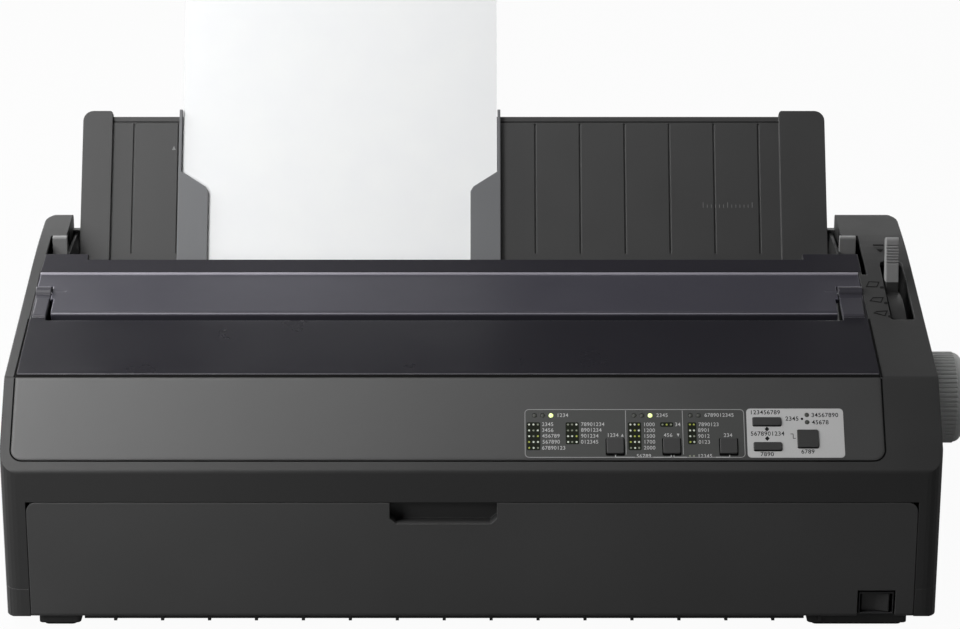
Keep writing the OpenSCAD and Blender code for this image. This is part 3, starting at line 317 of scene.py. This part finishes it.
FINISHES = {
    CASE: ["upper_case"],
    LOWER: ["lower_case"],
    PANEL: ["control_panel"],
    COVER: ["front_cover"],
    FLAP: ["tear_off_cover"],
    GUIDE: ["paper_guide"],
    GUIDE_EDGE: ["edge_guide_left", "edge_guide_right"],
    POST: ["guide_post_left", "guide_post_right"],
    PAPER: ["paper_sheet"],
    KNOB: ["platen_knob", "ribbon_knob"],
    LEVER: ["release_lever"],
    BUTTON: ["button_font", "button_pitch", "button_item", "button_load", "button_feed", "button_pause",
             "power_rocker"],
    DARK: ["power_switch_body", "ribbon_cartridge", "carriage", "tractor_left", "tractor_right",
           "tractor_lid_left", "tractor_lid_right", "ac_inlet"],
    GEAR: ["platen_gear", "idler_gear"],
    PULLEY: ["drive_pulley", "idler_pulley"],
    BUSH: ["platen_bushes"],
    FRAME: ["side_frame_left", "side_frame_right"],
    STEEL_SHEET: ["front_rail", "paper_chute"],
    STEEL_ROD: ["carriage_shaft", "platen_shaft", "tractor_shaft", "tractor_rod", "window_hinge_pins",
                "cover_pivot_pins", "case_screws"],
    BRASS: ["motor_pinion"],
    MOTOR: ["carriage_motor", "feed_motor"],
    HEAD: ["print_head"],
    PORT: ["parallel_port", "usb_port"],
    PLATEN: ["platen_roller", "pressure_rollers"],
    FEET: ["rubber_feet"],
    BELT: ["carriage_belt"],
    BOARD: ["main_board", "power_supply"],
}
for material, names in FINISHES.items():
    for node_name in names:
        NODES[node_name].data.materials.clear()
        NODES[node_name].data.materials.append(material)


# ---------------------------------------------------------------- outlines, plates, numbers, turned pieces
def rounded_rect(x0, x1, y0, y1, r, steps=5):
    """Closed outline of a rectangle with round corners."""
    points = []
    corners = ((x1 - r, y1 - r, 0), (x0 + r, y1 - r, 90), (x0 + r, y0 + r, 180), (x1 - r, y0 + r, 270))
    for cx, cy, turn in corners:
        for i in range(steps + 1):
            a = math.radians(turn + 90 * i / steps)
            points.append((cx + r * math.cos(a), cy + r * math.sin(a)))
    return points


def disc(x, y, r, steps=20):
    return [(x + r * math.cos(2 * math.pi * i / steps), y + r * math.sin(2 * math.pi * i / steps))
            for i in range(steps)]


def frame_outline(x0, x1, y0, y1, r, line):
    """A rectangle drawn as a line: its outer outline, then its inner one."""
    inner = rounded_rect(x0 + line, x1 - line, y0 + line, y1 - line, r - line)
    return [rounded_rect(x0, x1, y0, y1, r), inner]


def plate(name, outlines, lift, thickness, place, material, body="case"):
    """Flat plate from closed outlines in a surface's own millimetres; outlines inside others are holes."""
    curve = bpy.data.curves.new(name, "CURVE")
    curve.dimensions = "2D"
    curve.fill_mode = "BOTH"
    curve.extrude = thickness / 2
    for outline in outlines:
        spline = curve.splines.new("POLY")
        spline.points.add(len(outline) - 1)
        for point, (x, y) in zip(spline.points, outline):
            point.co = (x, y, 0, 1)
        spline.use_cyclic_u = True
    drawn = bpy.data.objects.new(name + "_outline", curve)
    return settle(name, drawn, place @ Matrix.Translation((0, 0, lift + thickness / 2)), material, body)


def settle(name, drawn, place, material, body):
    """Turns a curve or text into a mesh that lies where place puts it, and rides on body."""
    bpy.context.scene.collection.objects.link(drawn)
    bpy.context.view_layer.update()
    mesh = bpy.data.meshes.new_from_object(drawn.evaluated_get(bpy.context.evaluated_depsgraph_get()))
    bpy.data.objects.remove(drawn)
    mesh.transform(place)
    mesh.name = name
    piece = bpy.data.objects.new(name, mesh)
    bpy.context.scene.collection.objects.link(piece)
    mesh.materials.clear()
    mesh.materials.append(material)
    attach(piece, body)
    return piece


DIGIT_RAISE = 0.02
DIGIT_SPACING = 1.08


def numbers(name, texts, size, bold, lift, place, material):
    """Plain numerals: texts holds (text, x, y), with the point at the left end, halfway up the digits."""
    pieces = []
    for text, x, y in texts:
        font = bpy.data.curves.new(name, "FONT")
        font.body = text
        font.size = size
        font.extrude = DIGIT_RAISE
        font.offset = bold
        font.space_character = DIGIT_SPACING
        font.align_x = "LEFT"
        font.align_y = "CENTER"
        drawn = bpy.data.objects.new(name + "_text", font)
        pieces.append(settle(name, drawn, place @ Matrix.Translation((x, y, lift)), material, "case"))
    return join(pieces)


def join(pieces):
    """Joins pieces into the first one."""
    bpy.ops.object.select_all(action="DESELECT")
    for piece in pieces:
        piece.select_set(True)
    bpy.context.view_layer.objects.active = pieces[0]
    bpy.ops.object.join()
    return pieces[0]


def revolve(name, spots, profile, place, material, body="case", steps=16):
    """Turned pieces of one (radius, height) profile, one at each spot of a surface."""
    turns = [2 * math.pi * k / steps for k in range(steps)]
    shape = bmesh.new()
    for x, y in spots:
        rings = []
        for r, h in profile:
            if r == 0:
                rings.append([shape.verts.new((x, y, h))])
                continue
            rings.append([shape.verts.new((x + r * math.cos(turn), y + r * math.sin(turn), h))
                          for turn in turns])
        for low, high in zip(rings, rings[1:]):
            for k in range(steps):
                m = (k + 1) % steps
                if len(high) == 1:
                    shape.faces.new((low[k], low[m], high[0]))
                else:
                    shape.faces.new((low[k], low[m], high[m], high[k]))
    mesh = bpy.data.meshes.new(name)
    bmesh.ops.recalc_face_normals(shape, faces=shape.faces)
    shape.to_mesh(mesh)
    shape.free()
    mesh.transform(place)
    mesh.shade_smooth()
    mesh.materials.append(material)
    piece = bpy.data.objects.new(name, mesh)
    bpy.context.scene.collection.objects.link(piece)
    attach(piece, body)
    return piece


# ---------------------------------------------------------------- control panel: its labels, painted shade round its keys and edges, and lamps
# Keys: middle across, middle up the slope, width, height
BUTTONS = {
    "font": (88.5, 17, 10.4, 10),
    "pitch": (123.3, 17, 10.4, 10),
    "item": (158.3, 17, 10.4, 10),
    "load": (182.3, 33.2, 17.6, 5.3),
    "feed": (182.3, 16.8, 17.2, 5.2),
    "pause": (207.2, 21.8, 12.8, 11.6),
}
MENU_KEYS = ("font", "pitch", "item")
FEED_KEYS = ("load", "feed", "pause")
MENU_GAP = (0.7, 1.4)                 # width of the painted shade at a key's sides, and below it
FEED_GAP = (0.15, 0.7)
KEY_TOP_GAP = 0.3
KEY_CORNER = 1
LAMPS_LIT = [(49.2, 37.3), (110.4, 37.3)]
LAMPS_DARK = [(39, 37.3), (44.1, 37.3), (100.5, 37.3), (105.4, 37.3), (135.4, 37.3), (140.2, 37.3)]
LAMPS_WARNING = [(207.2, 37.6), (207.2, 32.8)]
LAMP_HOLE_R = 1.5
MENU_LABEL = (32.5, 168.8, 9.0, 41.8)           # left, right, lower and upper edge
FEED_LABEL = (169.8, 229.6, 9.4, 41.8)
MENU_CORNER = 3
FEED_CORNER = 2.4

FILM_T = 0.12                         # thickness of a label
INK_T = 0.03                          # and of what is printed on it
LINE = 0.42                           # width of a printed line


def key_outline(key, margin, below):
    """Outline round a key, with a margin at its sides and another below it."""
    x, y, w, h = BUTTONS[key]
    return rounded_rect(x - w / 2 - margin, x + w / 2 + margin, y - h / 2 - below, y + h / 2 + KEY_TOP_GAP,
                        KEY_CORNER)


def openings(names, gap, lamps):
    """Outlines of the holes that a label leaves round its buttons and lamps."""
    return [key_outline(key, *gap) for key in names] + [disc(x, y, LAMP_HOLE_R) for x, y in lamps]


MENU_FILM = printed_film("menu_film", colour(60, 61, 60))
GREY_FILM = printed_film("grey_film", colour(174, 174, 174))
LINE_INK = printed_film("line_ink", colour(140, 140, 140))
TEXT_INK = printed_film("text_ink", colour(168, 168, 168))
DARK_INK = printed_film("dark_ink", colour(22, 22, 22), 0.6, 0.1)
EMBOSS = printed_film("embossed_mark", colour(14, 14, 14), 0.6, 0.1)
# Near-black strips that stand for shade in gaps and grooves
PAINTED_SHADE = printed_film("painted_shade_strips", colour(9, 9, 9), 0.8, 0.04)
INKS = {"white": printed_film("dot_white", colour(196, 200, 190)),
        "green": printed_film("dot_green", colour(150, 158, 70)),
        "dim": printed_film("dot_dim", colour(122, 126, 112))}
CELL_INK = printed_film("cell_ink", colour(22, 26, 17), 0.6, 0.1)
LENS_LIT = lamp_lens("lamp_lit", colour(234, 255, 165), 1.0)
LENS_DARK = lamp_lens("lamp_dark", colour(60, 62, 57), 0)

menu_outline = rounded_rect(*MENU_LABEL, MENU_CORNER)
feed_outline = rounded_rect(*FEED_LABEL, FEED_CORNER)
plate("menu_label", [menu_outline] + openings(MENU_KEYS, MENU_GAP, LAMPS_LIT + LAMPS_DARK),
      0, FILM_T, ON_PANEL, MENU_FILM)
plate("feed_label", [feed_outline] + openings(FEED_KEYS, FEED_GAP, LAMPS_WARNING),
      0, FILM_T, ON_PANEL, GREY_FILM)

# Painted shade: black rings in the gaps round the keys, wider below them where the keys' shadow falls
KEY_PLAY = 0.1                        # gap between a key and its ring of painted shade
SHADE_DROP = 0.04                      # how far the painted shade stays below the top of the labels
shade_rings = []
for keys, gap in ((MENU_KEYS, MENU_GAP), (FEED_KEYS, FEED_GAP)):
    for key in keys:
        shade_rings += [key_outline(key, *gap), key_outline(key, KEY_PLAY, KEY_PLAY)]
plate("key_painted_shade", shade_rings, 0, FILM_T - SHADE_DROP, ON_PANEL, PAINTED_SHADE)

# Painted shade: a black strip in the groove round the panel's sides and lower edge
PANEL_EDGE = (-283.0, 254.1, 7.7, 7.0)          # left, right, lower edge and corner radius of the panel
PANEL_TOP = 62.0
PANEL_ARC_STEPS = 8
PANEL_SHADE_W = 0.95
PANEL_SHADE_T = 0.08


def panel_edge(grow):
    """The panel's sides and lower edge as an open line, moved outwards by grow."""
    x0, x1, y0, r = PANEL_EDGE
    line = [(x0 - grow, PANEL_TOP)]
    for cx, turn in ((x0 + r, 180), (x1 - r, 270)):
        for i in range(PANEL_ARC_STEPS + 1):
            a = math.radians(turn + 90 * i / PANEL_ARC_STEPS)
            line.append((cx + (r + grow) * math.cos(a), y0 + r + (r + grow) * math.sin(a)))
    return line + [(x1 + grow, PANEL_TOP)]


panel_outline = panel_edge(PANEL_SHADE_W) + panel_edge(0)[::-1]
plate("panel_painted_shade", [panel_outline], 0, PANEL_SHADE_T, ON_PANEL, PAINTED_SHADE)

# Painted shade: black strips in the gaps at the window's sides and under its front edge
SHARP = 0.1                           # corner radius of thin strips
SUNK_IN = -0.1                        # how far the strips on the covers' plane start below it
WINDOW_SIDES = ((-284.3, -283.2), (254.3, 255.4))
WINDOW_SIDE_ENDS = (0.2, 71)
SIDE_SHADE_T = 0.42
FRONT_SHADE_T = 0.16
side_outlines = [rounded_rect(x0, x1, *WINDOW_SIDE_ENDS, SHARP) for x0, x1 in WINDOW_SIDES]
plate("window_side_painted_shade", side_outlines, SUNK_IN, SIDE_SHADE_T, ON_COVER, PAINTED_SHADE)
front_outline = rounded_rect(-282.8, 253.9, 0.1, 3.4, SHARP)
plate("window_front_painted_shade", [front_outline], SUNK_IN, FRONT_SHADE_T, ON_COVER, PAINTED_SHADE)

# Lamps as (radius, height) profiles: domed lenses where lit, sunk ones where dark
DOME = [(1.4, -4.0), (1.4, 0.0), (1.2, 0.25), (0.7, 0.45), (0, 0.5)]
lit = revolve("lamps_lit", LAMPS_LIT, DOME, ON_PANEL, LENS_LIT)
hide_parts("status_lamps")
SUNK = [(1.3, -4.0), (1.3, -0.2), (1.1, 0.0), (0.7, 0.08), (0, 0.1)]
dark = revolve("lamps_dark", LAMPS_DARK + LAMPS_WARNING, SUNK, ON_PANEL, LENS_DARK)
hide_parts("status_lamps")

# Lines of the menu label: its frame, dividers and the brackets between the buttons
FRAME_INSET = 0.4
FRAME_CORNER = 2.6
DIVIDERS = (95.0, 130.1)
DIVIDER_ENDS = (11.5, 40.6)
LINE_CORNER = 0.15
BRACKET_AT = 9.4                      # how far up the slope the brackets start
BRACKETS = ((88.3, 100.3), (111.8, 122.9), (124.2, 132.4), (150.2, 158.8))
BRACKET_ENDS = (88.3, 122.5, 124.2, 158.4)
BRACKET_W = 0.5
BRACKET_RISE = 1.8
left, right, lower, upper = MENU_LABEL
frame_marks = frame_outline(left + FRAME_INSET, right - FRAME_INSET,
                            lower + FRAME_INSET, upper - FRAME_INSET, FRAME_CORNER, LINE)
dividers = [rounded_rect(x, x + LINE, *DIVIDER_ENDS, LINE_CORNER) for x in DIVIDERS]
bars = [(x, BRACKET_AT, BRACKET_W, BRACKET_RISE) for x in BRACKET_ENDS]
bars += [(x0, BRACKET_AT, x1 - x0, BRACKET_W) for x0, x1 in BRACKETS]
brackets = [rounded_rect(x, x + w, y, y + h, LINE_CORNER) for x, y, w, h in bars]
plate("menu_frame", frame_marks, FILM_T, INK_T, ON_PANEL, LINE_INK)
plate("menu_dividers", dividers, FILM_T, INK_T, ON_PANEL, LINE_INK)
plate("menu_brackets", brackets, FILM_T + INK_T, INK_T, ON_PANEL, TEXT_INK)

# Selection tables: (columns, rows, one letter per dot). The last table has no dark cell behind it
ROWS = (31.2, 27.3, 23.5, 19.7, 15.8)
TABLES = (((35.6, 38.3, 41.0), ROWS, "wwd wdw wdg gww gwd"),
          ((59.6, 62.1, 64.8), ROWS[:4], "ddw ddd wwg wdw"),
          ((98.1, 100.7, 103.2), ROWS, "wwg wgw wgg gww dwd"),
          ((117.9, 120.5, 123.1), ROWS[:1], "dgd"),
          ((134.8, 137.2), ROWS[:4], "gg ww wd gw"),
          ((134.3, 136.7), (10.5,), "dd"))
LETTERS = {"w": "white", "g": "green", "d": "dim"}
CELL_EDGE = 1.5
CELL_CORNER = 0.9
DOT_R = 0.62
DOT_STEPS = 12
cells = []
dots = {"white": [], "green": [], "dim": []}
for columns, rows, letters in TABLES:
    cells.append(rounded_rect(columns[0] - CELL_EDGE, columns[-1] + CELL_EDGE,
                              rows[-1] - CELL_EDGE, rows[0] + CELL_EDGE, CELL_CORNER))
    for y, row in zip(rows, letters.split()):
        for x, letter in zip(columns, row):
            dots[LETTERS[letter]].append(disc(x, y, DOT_R, DOT_STEPS))
plate("menu_cells", cells[:-1], FILM_T, INK_T, ON_PANEL, CELL_INK)
for ink, outlines in dots.items():
    plate(f"menu_dots_{ink}", outlines, FILM_T + INK_T, INK_T, ON_PANEL, INKS[ink])

# Plain numbers beside the tables, the lamps and the keys: (x, y, number of digits)
MENU_LEGENDS = ((52.7, 37.3, 4), (43.5, 31.3, 4), (43.5, 27.4, 4), (43.6, 23.6, 6), (43.7, 19.7, 6),
                (43.4, 15.7, 8), (67.6, 31.3, 8), (67.6, 27.5, 7), (67.5, 23.6, 6), (67.4, 19.7, 6),
                (83.5, 24.1, 4), (114.2, 37.3, 4), (125.5, 31.2, 2), (118.5, 24.1, 3), (101.4, 10.4, 5),
                (143.9, 37.4, 10),
                (140.0, 31.2, 7), (139.7, 27.4, 4), (139.6, 23.5, 4), (139.8, 19.6, 4), (139.0, 10.4, 5),
                (155.4, 24.1, 3))
FEED_LEGENDS = ((172.0, 39.2, 9), (193.8, 35.0, 4), (209.9, 37.4, 8), (210.1, 32.6, 5), (172.0, 25.1, 10),
                (202.7, 13.3, 4), (177.6, 11.6, 4))


def digits(legends, first):
    """One run of counted digits for each legend, each run starting one higher."""
    return [("".join(str((first + k + i) % 10) for i in range(count)), x, y)
            for k, (x, y, count) in enumerate(legends)]


PITCHES = ("1000", "1200", "1500", "1700", "2000")
PITCHES_X = 106.0
MENU_DIGITS = (3.4, 0.02)             # size of the digits, and how far their outlines are grown
FEED_DIGITS = (3.9, 0.05)
pitches = [(text, PITCHES_X, y) for text, y in zip(PITCHES, ROWS)]
numbers("menu_numbers", digits(MENU_LEGENDS, 1) + pitches, *MENU_DIGITS, FILM_T, ON_PANEL, TEXT_INK)
numbers("feed_numbers", digits(FEED_LEGENDS, 1), *FEED_DIGITS, FILM_T, ON_PANEL, DARK_INK)


def arrow(x, y, w, h):
    """Triangle that points up the slope, or down it where h is negative."""
    return [(x - w / 2, y - h / 2), (x + w / 2, y - h / 2), (x, y + h / 2)]


# Arrows beside the menu's keys, and the marks of the feed label: a hook, a dot and two diamonds
MENU_ARROWS = ((93.0, 24.2, 1.6, 2.0), (127.4, 24.2, 1.6, -2.0))
HOOK = [(196.6, 25.2), (198.4, 25.2), (198.4, 22.3), (199.7, 22.3), (199.7, 21.9), (198.0, 21.9),
        (198.0, 24.8), (196.6, 24.8)]
FEED_DOT = (204.1, 35.0, 0.8, 10)
DIAMOND_X = 182.2
DIAMONDS_Y = (28.2, 22.0)
DIAMOND_W = 1.5
DIAMOND_H = 1.6
feed_marks = [HOOK, disc(*FEED_DOT)]
for y in DIAMONDS_Y:
    feed_marks.append([(DIAMOND_X - DIAMOND_W, y), (DIAMOND_X, y - DIAMOND_H),
                       (DIAMOND_X + DIAMOND_W, y), (DIAMOND_X, y + DIAMOND_H)])
plate("menu_arrows", [arrow(*values) for values in MENU_ARROWS], FILM_T, INK_T, ON_PANEL, TEXT_INK)
plate("feed_marks", feed_marks, FILM_T, INK_T, ON_PANEL, DARK_INK)

# ---------------------------------------------------------------- marks on the case and the paper guide
# Beside the release lever: a sheet over a roller, three times, and the two ends of its travel
LEVER_ICONS = ((262.4, 115.4, 0.0), (262.8, 95.4, 1.8), (263.4, 78.4, 3.4))     # x, y, lean of the sheet
ICON_LINE = 1.1
ICON_T = 0.3
TRAVEL_T = 0.2
lever_marks = []
for x, y, lean in LEVER_ICONS:
    for inset in (0.0, ICON_LINE):
        across = inset * 0.4
        along = inset * 0.8
        lever_marks.append([(x - 5.0 + inset, y - 3.4 + lean + along),
                            (x + 2.4 - across, y - 3.8 + along),
                            (x + 4.8 - inset, y + 3.2 - along),
                            (x - 2.4 + across, y + 3.8 - lean * 0.4 - along)])
    lever_marks.append(disc(x + 5.4, y - 4.2, 1.4, 14))
plate("lever_icons", lever_marks, 0, ICON_T, ON_COVER, EMBOSS)
travel_marks = [rounded_rect(268.4, 275.4, 167.4, 168.9, 0.3), arrow(272.4, 160.8, 4.6, -3.4)]
plate("lever_travel_marks", travel_marks, 0, TRAVEL_T, ON_COVER, EMBOSS)

# Strip behind the covers, in a darker plastic, with its two steps
STRIP = [(-283.2, 131.3), (256.4, 131.3), (256.4, 155.2), (220.0, 155.2), (220.0, 147.8), (-254.3, 147.8),
         (-254.3, 155.2), (-282.4, 155.2)]
STRIP_T = 0.46
plate("rear_strip", [STRIP], SUNK_IN, STRIP_T, ON_COVER, STRIP_FINISH)

# On the paper guide: a mark for the sheet's edge, and a row of ticks
GUIDE_MARK = printed_film("guide_mark", colour(120, 120, 120))
GUIDE_MARK_T = 0.05
TICK_SIDES = (158.8, 159.1)
TICK_PITCH = 2.8
TICK_COUNT = 13
TICK_FOOT = 41.4
TICK_TOPS = (45.2, 43.6)              # of each sixth tick, and of the others
ticks = []
for k in range(TICK_COUNT):
    x0, x1 = (side + TICK_PITCH * k for side in TICK_SIDES)
    ticks.append(rounded_rect(x0, x1, TICK_FOOT, TICK_TOPS[0] if k % 6 == 0 else TICK_TOPS[1], SHARP))
plate("guide_ticks", ticks, 0, GUIDE_MARK_T, ON_GUIDE, GUIDE_MARK)
plate("guide_arrow", [arrow(-204.7, 83.8, 2.6, 2.8)], 0, GUIDE_MARK_T, ON_GUIDE, GUIDE_MARK)

# ---------------------------------------------------------------- covers with two finishes each (on the flap, a painted highlight on its edges), and the window's painted edge highlight
# Painted highlight on the window's front edge
WINDOW_EDGE_HIGHLIGHT = moulded("window_edge_painted_highlight", colour(92, 91, 96), 0.35)
BEAD_FROM = (127.6, 0.2)              # how far up the slope the flap's bead starts, and at what height
CREST_TO = (79.8, -1.2)               # where the crest of its front edge ends
ARMS_FROM = 73
PANE_SIDES = (-270, 235)


def copy_of(node_name, body, materials, pick):
    """Copy of a node's mesh with more than one finish; pick gives a face's finish from its centre (mm)."""
    mesh = NODES[node_name].data.copy()
    mesh.name = node_name + "_dressed"
    mesh.materials.clear()
    for material in materials:
        mesh.materials.append(material)
    for face in mesh.polygons:
        face.material_index = pick(face.center / MM + ORIGIN)
    piece = bpy.data.objects.new(mesh.name, mesh)
    bpy.context.scene.collection.objects.link(piece)
    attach(piece, body)
    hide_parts(node_name)
    return piece


def on_cover(place):
    """A point's distance up the covers' slope, and its height above their plane, in mm."""
    back = place.y - BEND_Y
    up = place.z - BEND_Z - BEND_Y * math.tan(PANEL_ANGLE)
    cos, sin = math.cos(COVER_ANGLE), math.sin(COVER_ANGLE)
    return back * cos + up * sin, up * cos - back * sin


def flap_highlight_faces(place):
    """1 on the bead along the flap's rear edge and on the crest of its front edge, which take the painted
    highlight, and 0 elsewhere.
    """
    s, h = on_cover(place)
    bead = s > BEAD_FROM[0] and h > BEAD_FROM[1]
    crest = s < CREST_TO[0] and h > CREST_TO[1]
    return int(bead or crest)


def hinge_arm(place):
    """1 on the window's hinge arms, which are moulded in the covers' plastic, and 0 on its pane."""
    return int(on_cover(place)[0] > ARMS_FROM and not PANE_SIDES[0] < place.x < PANE_SIDES[1])


copy_of("window_cover", "window_cover", [SMOKED, ARM], hinge_arm)
copy_of("tear_off_cover", "tear_off_cover", [FLAP, FLAP_HIGHLIGHT], flap_highlight_faces)

# Painted highlight: a light line along the window's front edge
edge_outline = rounded_rect(-282.6, 253.8, 3.75, 4.35, SHARP)
plate("window_edge_highlight_strip", [edge_outline], 0, INK_T, ON_COVER, WINDOW_EDGE_HIGHLIGHT, "window_cover")

# ---------------------------------------------------------------- stage
def ray_share(tree, seen, gloss, other):
    """A value for rays seen directly or through glass, one for reflections, and one for all other light."""
    ray = tree.nodes.new("ShaderNodeLightPath")
    through = tree.nodes.new("ShaderNodeMath")
    through.operation = "MAXIMUM"
    tree.links.new(ray.outputs["Is Camera Ray"], through.inputs[0])
    tree.links.new(ray.outputs["Is Transmission Ray"], through.inputs[1])
    parts = []
    for name, source, low, high in (("seen_share", through.outputs[0], other, seen),
                                    ("gloss_share", ray.outputs["Is Glossy Ray"], 0.0, gloss)):
        part = tree.nodes.new("ShaderNodeMapRange")
        part.name = name
        part.inputs["To Min"].default_value = low
        part.inputs["To Max"].default_value = high
        tree.links.new(source, part.inputs["Value"])
        parts.append(part.outputs["Result"])
    total = tree.nodes.new("ShaderNodeMath")
    total.operation = "MAXIMUM"
    tree.links.new(parts[0], total.inputs[0])
    tree.links.new(parts[1], total.inputs[1])
    return total.outputs[0]


PALE = 0.96                           # how far the floor goes towards plain white; the rest keeps the shadow
GLOSS = 0.08                          # strength of the white surroundings in reflections
SOFT = 0.012                          # and in all other light
FLOOR_SIZE = 6


def stage():
    """White floor that keeps the shadow, and a world that looks white and hardly lights the object."""
    n = Nodes("floor")
    speckle = n.spread(n.noise(300, 2), 0, 1)
    n.finish(Base_Color=n.mix(speckle, colour(124, 124, 124), colour(130, 130, 130)), Roughness=0.9,
             Specular_IOR_Level=0.1)
    tree = n.tree
    white = n.add("ShaderNodeEmission", Color=(1, 1, 1, 1), Strength=1.0)
    blend = tree.nodes.new("ShaderNodeMixShader")
    tree.links.new(ray_share(tree, PALE, GLOSS, 0.0), blend.inputs[0])
    tree.links.new(n.shader.outputs[0], blend.inputs[1])
    tree.links.new(white.outputs[0], blend.inputs[2])
    tree.links.new(blend.outputs[0], tree.nodes["Material Output"].inputs["Surface"])
    mesh = bpy.data.meshes.new("floor")
    shape = bmesh.new()
    bmesh.ops.create_grid(shape, x_segments=2, y_segments=2, size=FLOOR_SIZE)
    shape.to_mesh(mesh)
    shape.free()
    mesh.materials.append(n.material)
    floor = bpy.data.objects.new("floor", mesh)
    bpy.context.scene.collection.objects.link(floor)

    world = bpy.data.worlds.new("studio")
    bpy.context.scene.world = world
    world.use_nodes = True
    tree = world.node_tree
    back = tree.nodes["Background"]
    tree.links.new(ray_share(tree, 1.0, GLOSS, SOFT), back.inputs["Strength"])
    back.inputs["Color"].default_value = (1, 1, 1, 1)


def softbox(name, at, aim, size, power):
    """Rectangular lamp at a place, turned towards aim; metres and watts."""
    light = bpy.data.lights.new(name, "AREA")
    light.shape = "RECTANGLE"
    light.size, light.size_y = size
    light.energy = power
    lamp = bpy.data.objects.new(name, light)
    lamp.location = at
    lamp.rotation_euler = (Vector(aim) - Vector(at)).to_track_quat("-Z", "Y").to_euler()
    bpy.context.scene.collection.objects.link(lamp)


stage()
LIGHTS = (
    ("key", (-0.62, -0.62, 0.5), (-0.2, -0.1, 0.12), (0.4, 0.4), 4.4),
    ("top_left", (-0.85, -0.6, 1.45), (-0.1, 0, 0.1), (0.4, 0.4), 12.5),
    ("top", (-0.3, -0.6, 1.6), (0, 0, 0.1), (0.8, 0.5), 3),
    ("over", (-0.5, -0.42, 1.5), (-0.3, -0.1, 0.1), (1.0, 0.12), 4.2),
    ("window", (-1.3, 0.7, 0.9), (0, 0.1, 0.15), (1.5, 1.3), 56),
    ("backdrop", (0, 2.0, 0.75), (0, 0.1, 0.18), (3.0, 0.5), 12),
    ("right_rear", (1.4, 0.5, 0.7), (0.2, 0, 0.1), (0.8, 0.8), 4.5),
    ("right_low", (1.2, -0.4, 0.5), (0.2, 0, 0.15), (0.5, 0.5), 0.9),
)
for light in LIGHTS:
    softbox(*light)

# ---------------------------------------------------------------- camera
# Solved from the photograph: its focal length and the pixel under the case's middle plane
IMAGE_W = 960
FOCAL_PX = 3053.18
SENSOR_MM = 36.0
MIDDLE_PX = 471.3
PITCH = math.radians(18.5)
CAMERA_AT = Vector((0, -1743.28, 790.10))       # from the middle of the case's front edge, mm

camera = bpy.data.objects.new("camera", bpy.data.cameras.new("camera"))
camera.data.sensor_width = SENSOR_MM
camera.data.lens = FOCAL_PX * SENSOR_MM / IMAGE_W
camera.data.shift_x = (IMAGE_W / 2 - MIDDLE_PX) / IMAGE_W
camera.location = (CAMERA_AT - ORIGIN) * MM
camera.rotation_euler = (math.pi / 2 - PITCH, 0, 0)
bpy.context.scene.collection.objects.link(camera)
bpy.context.scene.camera = camera
bpy.context.scene.view_settings.view_transform = "Standard"
